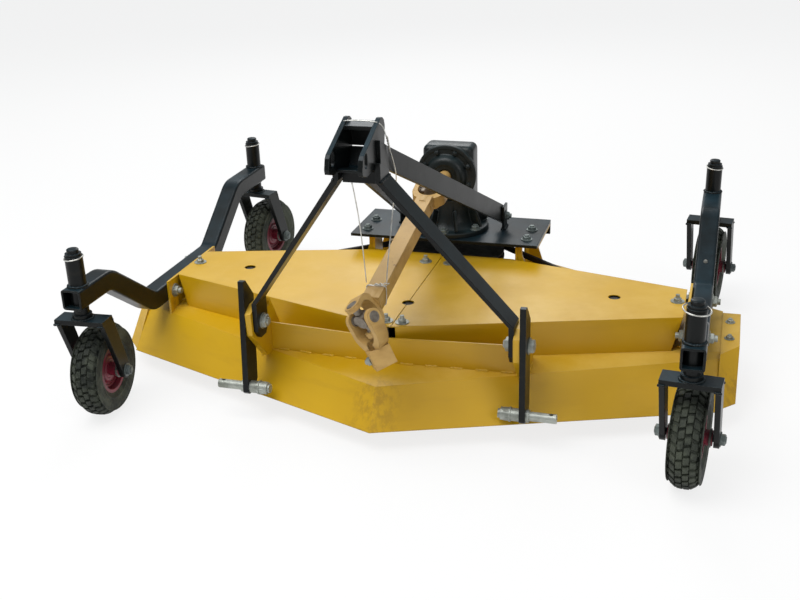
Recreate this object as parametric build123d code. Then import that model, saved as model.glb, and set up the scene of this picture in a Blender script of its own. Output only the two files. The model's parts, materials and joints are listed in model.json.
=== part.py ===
from build123d import *
import os
from math import atan2, cos, hypot, radians, sin, sqrt

# Three-spindle slasher mower for a tractor's three-point hitch, in millimetres.
# +Z is up, the hitch faces -Y, and +X is on the right when seen from the front.

# Deck: folded sheet on three levels, from the skirt's rim to the flat top
deck_half = 762.0
deck_sheet = 3.0
rim_z = 70.7
crease_z = 160.0
deck_top_z = 168.0
rim_tip_y = -560.0
rim_corner_y = -277.0
crease_tip_y = -501.0
crease_corner_y = -173.0
top_tip_y = -384.0
top_corner_y = -149.0
side_rear_y = 90.0
rear_half = 263.0
rear_y = 345.0
rear_skirt_depth = 45.0

# End skirts: bolted pieces with a chamfered corner outside the deck's ends
seam_x = deck_half - 9.0
end_half = deck_half + 35.0
end_rim_corner_y = -226.0
end_top_corner_y = -117.0
end_rear_y = 78.0

# Belt covers: folded lids on both sides of the centre seam
cover_top_z = 255.0
cover_sheet = 2.5
cover_half = deck_half - 100.0
cover_tip_y = -372.0
cover_corner_y = -168.0
cover_rear_y = 130.0
cover_rear_half = 190.0
cover_rear_corner_y = 10.0
cover_end_slant = 22.0
cover_rear_flange_x = 480.0
seam_gap = 1.5
seam_notch = 10.0
access_r = 15.0

# Spindles, pulleys, belt and blades
spindle_x = cover_half - 171.0
spindle_outer_y = -78.0
spindle_centre_y = -222.0
shaft_r = 15.0
running_gap = 0.05
seat_gap = 0.3
housing_r = 38.0
housing_flange_r = 72.0
housing_flange = 10.0
housing_hole_gap = 2.0
housing_low_z = 126.0
housing_top_z = 212.0
belt_z = 231.0
belt_width = 15.0
belt_depth = 9.0
pulley_rim = 4.0
pulley_r = 62.0
drive_pulley_r = 150.0
groove_depth = 12.0
blade_r = 0.493 * spindle_x
blade_width = 60.0
blade_sheet = 6.0
blade_low_z = 80.0
blade_lift = 8.0
blade_turn = 25.0
collar_r = 30.0
shaft_top_z = 249.0
bolt_head = 9.0

# Gearbox, its plate and stands
gear_y = 217.0
plate_half = 263.0
plate_front_y = 110.0
plate_rear_y = 333.0
plate_lip = 32.0
plate_top_z = 305.0
plate_thick = 8.0
stand_web_x = 200.0
stand_sheet = 6.0
stand_front_y = 132.0
stand_rear_y = 324.0
stand_window_y = 200.0
stand_window = 66.0
gear_flange_r = 105.0
gear_flange = 14.0
gear_half = 70.0
gear_front_y = 183.0
gear_rear_y = 256.0
gear_top_z = 540.0
gear_waist_z = 400.0
input_z = 470.0
input_flange_r = 76.0
input_flange = 14.0
input_cap_r = 50.0
input_cap = 20.0
input_shaft_r = 17.0

# Driveline with two universal joints
rear_cross_y = 15.0
drop_angle = 11.2
cross_spacing = 587.0
tube_half = 20.0
yoke_ear_r = 19.0
yoke_ear = 12.0
yoke_gap = 30.0
yoke_reach = 46.0
yoke_floor = 12.0
yoke_base_r = 24.0
yoke_side = 14.0
yoke_neck_r = 22.0
tractor_reach = 58.0
front_yoke_turn = 56.0
front_cross_turn = 22.0
tractor_bend = 73.0
cross_r = 12.0
cross_neck_r = 9.0
cross_body_r = 17.0
hub_half = 25.0
hub_length = 44.0
hub_turn = -29.0
tube_neck = 30.0
spline_r = 17.5

# Mast over the front wall
head_half = 35.5
head_sheet = 10.0
slot_y = -615.0
slot_z = 728.0
slot_r = 9.6
slot_half = 6.0
head_bar_low_z = 657.0
head_bar_high_z = 683.0
leg_top_y = -533.0
leg_top_z = 668.0
leg_bend_z = 320.0
leg_width = 60.0
leg_thick = 12.0
brace_width = 52.0
brace_thick = 8.0
brace_front_y = -545.0
brace_front_z = 727.0
brace_slope = 0.487
lug_x = 145.0
lug_y = 243.0

# Hitch brackets, lower links and pins
pivot_y = -431.0
pivot_z = 267.6
pivot_r = 9.0
bracket_thick = 15.0
bracket_x = 313.0
link_thick = 14.0
link_width = 56.0
link_front_y = -473.0
link_low_z = 88.0
link_end_r = 24.0
link_top_z = 373.5
hitch_pin_y = -456.0
hitch_pin_z = 104.0
hitch_pin_r = 11.0
hitch_pin_out = 412.0
hitch_pin_in = 278.0
hitch_collar_r = 15.0
left_link_turn = 5.0
wall_z = 232.0
wall_sheet = 5.0
wall_bow = 27.0
wall_end_y = -362.0

# Caster arms: square tube bent in the Y-Z plane outside each deck end
arm_x = deck_half - 63.0
arm_tube = 50.0
arm_wall = 5.0
arm_corner = 7.0
arm_high_z = 355.0
arm_low_z = 218.0
arm_front_y = -608.0
arm_front_knee_y = -465.0
arm_front_foot_y = -275.0
arm_rear_foot_y = 95.0
arm_rear_knee_y = 285.0
arm_rear_y = 473.0
arm_bend_r = 62.0
mount_sheet = 6.0
mount_front_y = -215.0
mount_rear_y = 68.0
mount_top_z = 250.0
mount_foot = 16.0

# Casters
sleeve_r = 21.0
sleeve_top_z = 455.0
stem_r = 14.0
stem_top_z = 468.0
caster_front_y = -573.0
caster_rear_y = 448.0
fork_top_z = 298.0
fork_sheet = 12.0
fork_width = 50.0
fork_gap = 100.0
fork_foot_r = 20.0
fork_collar_r = 23.0
fork_collar = 12.0
trail = 60.0
tyre_r = 116.0
tyre_width = 72.0
axle_z = 136.0
rim_r = 56.0
rim_width = 54.0
hub_r = 17.0
hub_length_wheel = 94.0
axle_r = 8.0

# Each caster: name, side of the machine, swivel axis Y, turn in the photo's pose
caster_table = [
    ("front_left", -1, caster_front_y, 4.0),
    ("front_right", 1, caster_front_y, -5.0),
    ("rear_left", -1, caster_rear_y, -8.0),
    ("rear_right", 1, caster_rear_y, -6.0),
]

# Each spindle: name, X, Y
spindle_table = [
    ("left", -spindle_x, spindle_outer_y),
    ("centre", 0.0, spindle_centre_y),
    ("right", spindle_x, spindle_outer_y),
]

sides = [("left", -1), ("right", 1)]
pieces = {}


def block(x0, x1, y0, y1, z0, z1):
    return Pos((x0 + x1) / 2, (y0 + y1) / 2, (z0 + z1) / 2) * Box(x1 - x0, y1 - y0, z1 - z0)


def rod_x(x0, x1, y, z, radius):
    return Pos((x0 + x1) / 2, y, z) * Rot(0, 90, 0) * Cylinder(radius, x1 - x0)


def rod_y(x, y0, y1, z, radius):
    return Pos(x, (y0 + y1) / 2, z) * Rot(90, 0, 0) * Cylinder(radius, y1 - y0)


def rod_z(x, y, z0, z1, radius):
    return Pos(x, y, (z0 + z1) / 2) * Cylinder(radius, z1 - z0)


def flat(points, z0, z1):
    face = make_face(Polyline(*points, close=True))
    return extrude(Plane.XY.offset(z0) * face, amount=z1 - z0)


def side_plate(points, x0, x1):
    # points are (y, z)
    face = make_face(Polyline(*points, close=True))
    return extrude(Plane.YZ.offset(x0) * face, amount=x1 - x0)


def front_plate(points, y0, y1):
    # points are (x, z)
    face = make_face(Polyline(*points, close=True))
    return extrude(Plane.XZ.offset(-y1) * face, amount=y1 - y0)


def mirrored(shape):
    return mirror(shape, about=Plane.YZ)


def both_sides(points):
    # a closed outline from its right half, given from the front to the rear
    return points + [(-x, y) for x, y in reversed(points) if x > 0]


def frustum(low, high, z0, z1):
    low_face = Plane.XY.offset(z0) * make_face(Polyline(*low, close=True))
    high_face = Plane.XY.offset(z1) * make_face(Polyline(*high, close=True))
    return loft([low_face, high_face], ruled=True)


# Deck outlines, each from the tip round the right side
def deck_outline(tip_y, corner_y, grow=0.0):
    return both_sides([
        (0.0, tip_y - grow),
        (deck_half, corner_y - grow),
        (deck_half, side_rear_y + grow),
        (rear_half, rear_y + grow),
    ])


rim_outline = deck_outline(rim_tip_y, rim_corner_y)
crease_outline = deck_outline(crease_tip_y, crease_corner_y)
top_outline = deck_outline(top_tip_y, top_corner_y)


def deck_form(inset, drop):
    def shrunk(points):
        out = []
        for x, y in points:
            side = 0.0 if x == 0 else (inset if x > 0 else -inset)
            out.append((x - side, y + inset if y < 0 else y - inset))
        return out
    skirt = frustum(shrunk(rim_outline), shrunk(crease_outline), rim_z - (1 if inset else 0), crease_z - drop)
    band = frustum(shrunk(crease_outline), shrunk(top_outline), crease_z - drop, deck_top_z - drop)
    return skirt + band


deck_solid = deck_form(0.0, 0.0)
sheet_run = deck_sheet * 1.3


def deck_shell():
    shell = deck_solid - deck_form(sheet_run, deck_sheet)
    # the end skirts close the ends, and the rear is open under a short skirt
    for side in (-1, 1):
        x0, x1 = sorted((side * seam_x, side * (deck_half + 40)))
        shell -= block(x0, x1, rim_tip_y, rear_y, rim_z - 5, deck_top_z + 5)
    mouth = flat(
        [(-seam_x - 5, side_rear_y - 60), (seam_x + 5, side_rear_y - 60),
         (seam_x + 5, rear_y + 20), (-seam_x - 5, rear_y + 20)],
        rim_z - 5, deck_top_z - rear_skirt_depth)
    shell -= mouth
    # the flat top runs on under the end skirts' flanges
    ledge = flat([(seam_x - 0.01, crease_corner_y + 4), (end_half - 8, end_top_corner_y),
                  (end_half - 8, end_rear_y - 6), (seam_x - 0.01, end_rear_y - 6)],
                 deck_top_z - deck_sheet, deck_top_z)
    shell += ledge
    shell += mirrored(ledge)
    for _, x, y in spindle_table:
        shell -= rod_z(x, y, deck_top_z - 20, deck_top_z + 5, housing_r + housing_hole_gap)
    return shell


pieces["deck_shell"] = deck_shell()


def end_skirt():
    def outline(corner_front, corner_side, inset):
        return [
            (seam_x, corner_front + inset),
            (end_half - inset, corner_side + inset * 0.4),
            (end_half - inset, end_rear_y - inset),
            (seam_x, end_rear_y - inset),
        ]
    flange_z = deck_top_z + deck_sheet
    outer = frustum(outline(rim_corner_y + 3.3, end_rim_corner_y, 0),
                    outline(crease_corner_y - 4, end_top_corner_y, 0), rim_z, flange_z)
    inner = frustum(outline(rim_corner_y + 3.3, end_rim_corner_y, sheet_run),
                    outline(crease_corner_y - 4, end_top_corner_y, sheet_run), rim_z - 1, deck_top_z)
    return outer - inner


pieces["deck_end_skirt_right"] = end_skirt()
pieces["deck_end_skirt_left"] = mirrored(pieces["deck_end_skirt_right"])


def front_wall():
    outline = [
        (-bracket_x, wall_end_y), (0, wall_end_y - wall_bow), (bracket_x, wall_end_y),
        (bracket_x, wall_end_y + wall_sheet), (0, wall_end_y - wall_bow + wall_sheet),
        (-bracket_x, wall_end_y + wall_sheet),
    ]
    return flat(outline, crease_z - 15, wall_z) - deck_solid


pieces["front_wall"] = front_wall()


def hitch_bracket(side):
    outline = [
        (pivot_y - 40, pivot_z + 30), (pivot_y - 38, pivot_z - 26), (pivot_y + 40, crease_z - 5),
        (pivot_y + 118, crease_z - 5), (pivot_y + 140, deck_top_z + 14), (pivot_y + 75, pivot_z + 26),
        (pivot_y + 40, pivot_z + 44), (pivot_y - 10, pivot_z + 44),
    ]
    x0, x1 = sorted((side * bracket_x, side * (bracket_x + bracket_thick)))
    plate = side_plate(outline, x0, x1) - deck_solid
    plate -= rod_x(x0 - 1, x1 + 1, pivot_y, pivot_z, pivot_r + running_gap)
    plate -= rod_x(x0 - 1, x1 + 1, pivot_y + 62, pivot_z + 18, 7.0)
    # the belt covers' flange stands behind the plate
    return plate


def cover_front_y(x):
    return cover_tip_y + (cover_corner_y - cover_tip_y) * abs(x) / cover_half


def cover_rear_line(x):
    run = (abs(x) - cover_rear_half) / (cover_half - cover_rear_half)
    return cover_rear_y + (cover_rear_corner_y - cover_rear_y) * max(run, 0.0)


cover_keepout = flat(both_sides([
    (0.0, cover_tip_y - seat_gap), (cover_half, cover_corner_y - seat_gap),
    (cover_half, cover_rear_corner_y), (cover_rear_half, cover_rear_y)]), deck_top_z, cover_top_z + seat_gap)

for name, side in sides:
    pieces["hitch_bracket_" + name] = hitch_bracket(side) - cover_keepout


def belt_cover():
    # right-hand lid: flat top, folded front flange and a short rear flange
    inner = seam_gap / 2
    top = flat([(inner, cover_front_y(inner)), (cover_half, cover_corner_y),
                (cover_half, cover_rear_corner_y), (cover_rear_half, cover_rear_y), (inner, cover_rear_y)],
               cover_top_z - cover_sheet, cover_top_z)
    slope = (cover_corner_y - cover_tip_y) / cover_half
    depth = cover_sheet * sqrt(1 + slope ** 2)
    strip = flat([(0, cover_tip_y), (cover_half, cover_corner_y),
                  (cover_half, cover_corner_y + depth), (0, cover_tip_y + depth)],
                 deck_top_z, cover_top_z - cover_sheet)
    cut = front_plate([(cover_half, cover_top_z), (cover_half + 50, cover_top_z), (cover_half + 50, deck_top_z),
                       (cover_half - cover_end_slant, deck_top_z)], cover_tip_y - 5, cover_rear_y)
    strip -= block(-5, seam_notch, cover_tip_y - 5, cover_tip_y + 60, deck_top_z - 1, cover_top_z)
    rear_slope = (cover_rear_corner_y - cover_rear_y) / (cover_half - cover_rear_half)
    rear_depth = cover_sheet * sqrt(1 + rear_slope ** 2)
    x0 = cover_rear_flange_x
    back = flat([(x0, cover_rear_line(x0)), (cover_half, cover_rear_corner_y),
                 (cover_half, cover_rear_corner_y - rear_depth), (x0, cover_rear_line(x0) - rear_depth)],
                deck_top_z, cover_top_z - cover_sheet)
    lid = top + ((strip + back) - cut)
    lid -= rod_z(spindle_x, spindle_outer_y, cover_top_z - 10, cover_top_z + 5, access_r)
    lid -= rod_z(0, spindle_centre_y, cover_top_z - 10, cover_top_z + 5, access_r)
    return lid


pieces["belt_cover_right"] = belt_cover()
pieces["belt_cover_left"] = mirrored(pieces["belt_cover_right"])


def cover_studs():
    # threaded posts that carry the lids: X, Y
    posts = []
    for x, y in ((cover_half - 19, -73), (20, -342), (33, 62)):
        for side in (-1, 1):
            posts.append(rod_z(side * x, y, deck_top_z, cover_top_z - cover_sheet, 6.0))
    return posts[0] + posts[1:]


pieces["cover_studs"] = cover_studs()


def arm_mount(side):
    face = arm_x - arm_tube / 2
    outline = [(mount_front_y, mount_top_z), (mount_front_y, crease_z - 2), (mount_rear_y, crease_z - 2),
               (mount_rear_y, mount_top_z)]
    plate = side_plate(outline, face - mount_sheet, face) - deck_solid
    foot = block(face - mount_sheet - mount_foot, face - mount_sheet, mount_front_y + 60, mount_rear_y - 20,
                 deck_top_z, deck_top_z + mount_sheet)
    angle = plate + foot
    return angle if side > 0 else mirrored(angle)


for name, side in sides:
    pieces["arm_mount_" + name] = arm_mount(side)


def beside(points, reach):
    # the line through the points moved sideways, to its left where reach is positive
    normals = []
    for (y0, z0), (y1, z1) in zip(points, points[1:]):
        length = hypot(y1 - y0, z1 - z0)
        normals.append(((z0 - z1) / length, (y1 - y0) / length))
    moved = []
    for i, (y, z) in enumerate(points):
        before = normals[max(i - 1, 0)]
        after = normals[min(i, len(normals) - 1)]
        step = reach / (1 + before[0] * after[0] + before[1] * after[1])
        moved.append((y + step * (before[0] + after[0]), z + step * (before[1] + after[1])))
    return moved


def bent_bar(half):
    # square bar along the arm's line, one extruded band with its bends on the middle line's radius
    line = [(arm_front_y, arm_high_z), (arm_front_knee_y, arm_high_z), (arm_front_foot_y, arm_low_z),
            (arm_rear_foot_y, arm_low_z), (arm_rear_knee_y, arm_high_z), (arm_rear_y, arm_high_z)]
    turns = [1, -1, -1, 1]
    high = beside(line, half)
    low = beside(line, -half)
    edges = FilletPolyline(*high, radius=[arm_bend_r + turn * half for turn in turns]).edges()
    edges += FilletPolyline(*low, radius=[arm_bend_r - turn * half for turn in turns]).edges()
    face = make_face([*edges, Line(high[0], low[0]), Line(high[-1], low[-1])])
    return extrude(Plane.YZ.offset(arm_x - half) * face, amount=2 * half)


def caster_arm():
    half = arm_tube / 2
    bar = bent_bar(half)
    long_edges = []
    for edge in bar.edges():
        middle = edge.center()
        if arm_front_y + 1 < middle.Y < arm_rear_y - 1 and abs(abs(middle.X - arm_x) - half) < 0.01:
            long_edges.append(edge)
    arm = fillet(long_edges, arm_corner) - bent_bar(half - arm_wall)
    low = arm_high_z - half
    for y in (caster_front_y, caster_rear_y):
        arm += rod_z(arm_x, y, low, sleeve_top_z, sleeve_r)
        arm -= rod_z(arm_x, y, low - 1, sleeve_top_z + 1, stem_r + running_gap)
    return arm


pieces["caster_arm_right"] = caster_arm()
pieces["caster_arm_left"] = mirrored(pieces["caster_arm_right"])


def gearbox_stand():
    # right-hand upright: top flange, web with a window for the belt, foot and two gussets
    low = deck_top_z
    high = plate_top_z - plate_thick
    web = block(stand_web_x, stand_web_x + stand_sheet, stand_front_y, stand_rear_y, low, high)
    web -= block(stand_web_x - 1, stand_web_x + stand_sheet + 1, stand_window_y, stand_window_y + stand_window,
                 low + 35, high - 28)
    top = block(stand_web_x, plate_half, stand_front_y, stand_rear_y, high - stand_sheet, high)
    foot = block(stand_web_x, plate_half - 12, stand_front_y, stand_rear_y, low, low + stand_sheet)
    piece = web + top + foot
    for y in (stand_front_y + 4, stand_rear_y - 10):
        piece += front_plate([(stand_web_x, low), (plate_half - 12, low), (stand_web_x + 18, high - 30),
                              (stand_web_x + 18, high), (stand_web_x, high)], y, y + stand_sheet)
    return piece


pieces["gearbox_stand_right"] = gearbox_stand()
pieces["gearbox_stand_left"] = mirrored(pieces["gearbox_stand_right"])


def gearbox_plate():
    plate = block(-plate_half, plate_half, plate_front_y, plate_rear_y, plate_top_z - plate_thick, plate_top_z)
    plate += block(-plate_half, plate_half, stand_rear_y, plate_rear_y, plate_top_z - plate_thick - plate_lip,
                   plate_top_z)
    plate -= rod_z(0, gear_y, plate_top_z - plate_thick - 1, plate_top_z + 1, 30)
    for side in (-1, 1):
        x0, x1 = sorted((side * lug_x, side * (lug_x + 6)))
        plate += block(x0, x1, lug_y - 22, lug_y + 22, plate_top_z, plate_top_z + 66)
    return plate


pieces["gearbox_plate"] = gearbox_plate()


def gearbox_housing():
    z0 = plate_top_z
    base = rod_z(0, gear_y, z0, z0 + gear_flange, gear_flange_r)
    waist_low = Plane.XY.offset(z0 + gear_flange) * Pos(0, gear_y) * Circle(78)
    waist_high = Plane.XY.offset(gear_waist_z) * Pos(0, gear_y) * Circle(56)
    waist = loft([waist_low, waist_high], ruled=True)
    mid_y = (gear_front_y + gear_rear_y) / 2
    head = Pos(0, mid_y, (gear_waist_z - 10 + gear_top_z) / 2) * Box(
        2 * gear_half, gear_rear_y - gear_front_y, gear_top_z - gear_waist_z + 10)
    head = fillet(head.edges().filter_by(Axis.Y).group_by(Axis.Z)[-1], 26)
    flange = rod_y(0, gear_front_y - input_flange, gear_front_y, input_z, input_flange_r)
    cap = rod_y(0, gear_front_y - input_flange - input_cap, gear_front_y - input_flange, input_z, input_cap_r)
    back = rod_y(0, gear_rear_y, gear_rear_y + 10, input_z, 48)
    box = base + waist + head + flange + cap + back
    reach = gear_front_y - input_flange - input_cap
    box -= rod_y(0, reach - 1, reach + 30, input_z, input_shaft_r + running_gap)
    box -= rod_z(0, gear_y, z0 - 1, z0 + 30, shaft_r + running_gap)
    return box


pieces["gearbox_housing"] = gearbox_housing()


def pulley(x, y, radius, bore):
    half = belt_width / 2 + pulley_rim
    wheel = rod_z(x, y, belt_z - half, belt_z + half, radius)
    low = belt_z - belt_width / 2 - seat_gap
    high = belt_z + belt_width / 2 + seat_gap
    groove = rod_z(x, y, low, high, radius + 1) - rod_z(x, y, low, high, radius - groove_depth)
    return wheel - groove


def belt_loop(inner_gap):
    # hull of the four pulleys at the groove's floor, as one offset face
    stops = [(spindle_x, spindle_outer_y, pulley_r), (0.0, gear_y, drive_pulley_r),
             (-spindle_x, spindle_outer_y, pulley_r), (0.0, spindle_centre_y, pulley_r)]
    circles = [(x, y, r - groove_depth + inner_gap) for x, y, r in stops]
    points = []
    for i, (x, y, r) in enumerate(circles):
        before = circles[i - 1]
        after = circles[(i + 1) % len(circles)]
        normals = []
        for a, b in ((before, (x, y, r)), ((x, y, r), after)):
            dx, dy = b[0] - a[0], b[1] - a[1]
            length = hypot(dx, dy)
            ux, uy = dx / length, dy / length
            lean = (a[2] - b[2]) / length
            side = sqrt(1 - lean ** 2)
            normals.append((uy * side + ux * lean, -ux * side + uy * lean))
        first, last = normals
        mid = (first[0] + last[0], first[1] + last[1])
        size = hypot(*mid)
        mid = (mid[0] / size, mid[1] / size)
        points.append([(x + r * n[0], y + r * n[1]) for n in (first, mid, last)])
    edges = []
    for i, (first, mid, last) in enumerate(points):
        edges.append(ThreePointArc(first, mid, last))
        edges.append(Line(last, points[(i + 1) % len(points)][0]))
    return make_face(Wire(edges))


def drive_belt():
    low = belt_z - belt_width / 2
    outer = extrude(Plane.XY.offset(low) * belt_loop(seat_gap + belt_depth), amount=belt_width)
    inner = extrude(Plane.XY.offset(low - 1) * belt_loop(seat_gap + 0.7), amount=belt_width + 2)
    belt = outer - inner
    return belt


def rotor(x, y):
    half = belt_width / 2 + pulley_rim
    hub = rod_z(x, y, housing_top_z + seat_gap, belt_z - half, 26)
    shaft = rod_z(x, y, blade_low_z - bolt_head, shaft_top_z, shaft_r)
    collar = rod_z(x, y, blade_low_z + blade_sheet, housing_low_z - seat_gap, collar_r)
    head = rod_z(x, y, blade_low_z - bolt_head, blade_low_z, 22)
    return pulley(x, y, pulley_r, shaft_r) + hub + shaft + collar + head


def blade(x, y, turn):
    half = sqrt(blade_r ** 2 - (blade_width / 2) ** 2)
    w = blade_width / 2
    bar = flat([(-half, -w), (half, -w), (half, w), (-half, w)], blade_low_z, blade_low_z + blade_sheet)
    wing = side_plate([(w - 16, blade_low_z + blade_sheet), (w, blade_low_z + blade_sheet),
                       (w, blade_low_z + blade_sheet + blade_lift)], half - 95, half)
    other = Rot(0, 0, 180) * wing
    bar = bar + wing + other
    bar -= rod_z(0, 0, blade_low_z - 1, blade_low_z + blade_sheet + 1, shaft_r)
    return Pos(x, y, 0) * Rot(0, 0, turn) * bar


def housing(x, y):
    body = rod_z(x, y, housing_low_z, housing_top_z, housing_r)
    body += rod_z(x, y, deck_top_z, deck_top_z + housing_flange, housing_flange_r)
    for k in range(4):
        rib = block(housing_r - 5, housing_flange_r - 6, -4, 4, deck_top_z + housing_flange, deck_top_z + 30)
        body += Pos(x, y, 0) * Rot(0, 0, 45 + 90 * k) * rib
    body -= rod_z(x, y, housing_low_z - 1, housing_top_z + 1, shaft_r + running_gap)
    return body


for name, x, y in spindle_table:
    pieces["spindle_housing_" + name] = housing(x, y)
    pieces["spindle_" + name] = rotor(x, y)
    pieces["blade_" + name] = blade(x, y, blade_turn)


def drive_pulley():
    wheel = pulley(0, gear_y, drive_pulley_r, shaft_r)
    hub = rod_z(0, gear_y, belt_z + 8, plate_top_z - plate_thick - 4, 28)
    shaft = rod_z(0, gear_y, belt_z, plate_top_z + 28, shaft_r)
    return wheel + hub + shaft


pieces["drive_pulley"] = drive_pulley()
pieces["drive_belt"] = drive_belt()


def mast_head():
    # two cheeks with slotted noses, a bent top plate and a cross bar for the legs; points are from the slot
    cheek_line = [(105, 63), (81, 53), (-11, 13), (-18, 6), (-25, -16), (-22, -26), (3, -34), (43, -31), (59, -38),
                  (84, -44), (91, -71), (103, -71), (112, -38), (126, 11), (131, 42), (126, 55), (116, 62)]
    top_line = [(80, 50), (115, 55), (124, 48), (128, 32), (128, -1), (120, -1), (120, 30), (116, 41), (110, 46),
                (80, 41)]
    plate_in = head_half - head_sheet / 2
    cheeks = None
    for side in (-1, 1):
        x0, x1 = sorted((side * plate_in, side * (plate_in + head_sheet)))
        cheek = side_plate([(slot_y + y, slot_z + z) for y, z in cheek_line], x0, x1)
        slot = rod_x(x0 - 1, x1 + 1, slot_y, slot_z + slot_half, slot_r)
        slot += rod_x(x0 - 1, x1 + 1, slot_y, slot_z - slot_half, slot_r)
        slot += block(x0 - 1, x1 + 1, slot_y - slot_r, slot_y + slot_r, slot_z - slot_half, slot_z + slot_half)
        cheek -= slot
        cheeks = cheek if cheeks is None else cheeks + cheek
    top = side_plate([(slot_y + y, slot_z + z) for y, z in top_line], -plate_in, plate_in)
    reach = plate_in + head_sheet
    bar = block(-reach, reach, slot_y + 79, slot_y + 91, head_bar_low_z, head_bar_high_z)
    return cheeks + top + bar


pieces["mast_head"] = mast_head()


def brace_low_z(y):
    return brace_front_z - brace_width / 2 - brace_slope * (y - brace_front_y)


def mast_leg():
    # flat bar from the head to the bracket, its foot and its top bent upright
    foot_x = bracket_x
    top_x = head_half + head_sheet / 2
    half = leg_width / 2
    slope = atan2(leg_top_z - leg_bend_z, foot_x - leg_thick / 2 - top_x)
    across = leg_thick / sin(slope)
    front = leg_top_y - half
    rear = leg_top_y + half
    high = Plane.XY.offset(leg_top_z) * make_face(Polyline(
        (top_x, front), (top_x + across, front), (top_x + across, rear), (top_x, rear), close=True))
    low = Plane.XY.offset(leg_bend_z) * make_face(Polyline(
        (foot_x - leg_thick, pivot_y - half), (foot_x, pivot_y - half), (foot_x, pivot_y + half),
        (foot_x - leg_thick, pivot_y + half), close=True))
    leg = loft([low, high], ruled=True)
    foot = side_plate([(pivot_y - half, leg_bend_z), (pivot_y - half, pivot_z - 18), (pivot_y - 14, pivot_z - 38),
                       (pivot_y + 14, pivot_z - 38), (pivot_y + half, pivot_z - 18), (pivot_y + half, leg_bend_z)],
                      foot_x - leg_thick, foot_x)
    foot -= rod_x(foot_x - leg_thick - 1, foot_x + 1, pivot_y, pivot_z, pivot_r + running_gap)
    # the top ends against the brace's lower edge
    tab = side_plate([(front, leg_top_z), (rear, leg_top_z), (rear, brace_low_z(rear)), (front, brace_low_z(front))],
                     top_x, top_x + leg_thick)
    return leg + foot + tab


pieces["mast_leg_right"] = mast_leg()
pieces["mast_leg_left"] = mirrored(pieces["mast_leg_right"])


def mast_brace():
    # flat bar on edge from the head's cheek back to the plate's lug, flat against both
    head_x = head_half + head_sheet / 2
    end_x = lug_x - brace_thick
    half = brace_width / 2
    sections = []
    for x, y in ((head_x, brace_front_y), (head_x, slot_y + 123), (end_x, lug_y - 18), (end_x, lug_y + 18)):
        z = brace_low_z(y) + half
        sections.append(Plane.XZ.offset(-y) * make_face(Polyline(
            (x, z - half), (x + brace_thick, z - half), (x + brace_thick, z + half), (x, z + half), close=True)))
    return loft(sections, ruled=True)


pieces["mast_brace_right"] = mast_brace()
pieces["mast_brace_left"] = mirrored(pieces["mast_brace_right"])


def hung(side, shape):
    # the left link hangs a little forward about its pivot bolt
    if side > 0:
        return shape
    return Pos(0, pivot_y, pivot_z) * Rot(-left_link_turn, 0, 0) * Pos(0, -pivot_y, -pivot_z) * shape


def lower_link(side):
    x0, x1 = sorted((side * (bracket_x + bracket_thick + seat_gap),
                     side * (bracket_x + bracket_thick + seat_gap + link_thick)))
    front = link_front_y
    rear = front + link_width
    bar = side_plate([(front, link_low_z + 6), (front + 8, link_low_z), (rear - link_end_r, link_low_z),
                      (rear, link_low_z + link_end_r), (rear, link_top_z - 45), (front + 14, link_top_z),
                      (front, link_top_z)], x0, x1)
    bar -= rod_x(x0 - 1, x1 + 1, hitch_pin_y, hitch_pin_z, hitch_pin_r)
    bar -= rod_x(x0 - 1, x1 + 1, pivot_y, pivot_z, pivot_r + running_gap)
    return hung(side, bar)


for name, side in sides:
    pieces["lower_link_" + name] = lower_link(side)


def pivot_bolt(side):
    inner = bracket_x - leg_thick
    outer = bracket_x + bracket_thick + 2 * seat_gap + link_thick
    bolt = rod_x(inner - 18, outer + 10, pivot_y, pivot_z, pivot_r)
    bolt += rod_x(inner - 14, inner, pivot_y, pivot_z, 16)
    bolt += rod_x(outer, outer + 10, pivot_y, pivot_z, 15)
    return bolt if side > 0 else mirrored(bolt)


def hitch_pin(side):
    face = bracket_x + bracket_thick + seat_gap
    pin = rod_x(hitch_pin_in, hitch_pin_out, hitch_pin_y, hitch_pin_z, hitch_pin_r)
    pin += rod_x(hitch_pin_in + 6, face, hitch_pin_y, hitch_pin_z, hitch_collar_r)
    pin += rod_x(face + link_thick, face + link_thick + 8, hitch_pin_y, hitch_pin_z, hitch_collar_r)
    pin -= rod_z(hitch_pin_out - 12, hitch_pin_y, hitch_pin_z - 30, hitch_pin_z + 30, 5)
    return hung(side, pin if side > 0 else mirrored(pin))


for name, side in sides:
    pieces["pivot_bolt_" + name] = pivot_bolt(side)
    pieces["hitch_pin_" + name] = hitch_pin(side)


def caster_fork():
    # swivel axis at x = y = 0, wheel trailing towards +Y
    inner = fork_gap / 2
    outer = inner + fork_sheet
    half = fork_width / 2
    bridge = block(-outer, outer, -half, half, fork_top_z - fork_sheet, fork_top_z)
    fork = bridge
    for side in (-1, 1):
        x0, x1 = sorted((side * inner, side * outer))
        leg = side_plate([(-half, fork_top_z), (half, fork_top_z), (trail + fork_foot_r, axle_z),
                          (trail - fork_foot_r, axle_z)], x0, x1)
        fork += leg
        fork += rod_x(x0, x1, trail, axle_z, fork_foot_r)
    fork += rod_z(0, 0, fork_top_z, fork_top_z + fork_collar, fork_collar_r)
    arm_low = arm_high_z - arm_tube / 2
    fork += rod_z(0, 0, fork_top_z, arm_low - seat_gap, stem_r + 4)
    fork += rod_z(0, 0, fork_top_z, stem_top_z, stem_r)
    fork += rod_z(0, 0, sleeve_top_z + seat_gap, sleeve_top_z + 6, stem_r + 5)
    fork += rod_x(-outer - 12, outer + 12, trail, axle_z, axle_r)
    return fork


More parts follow.
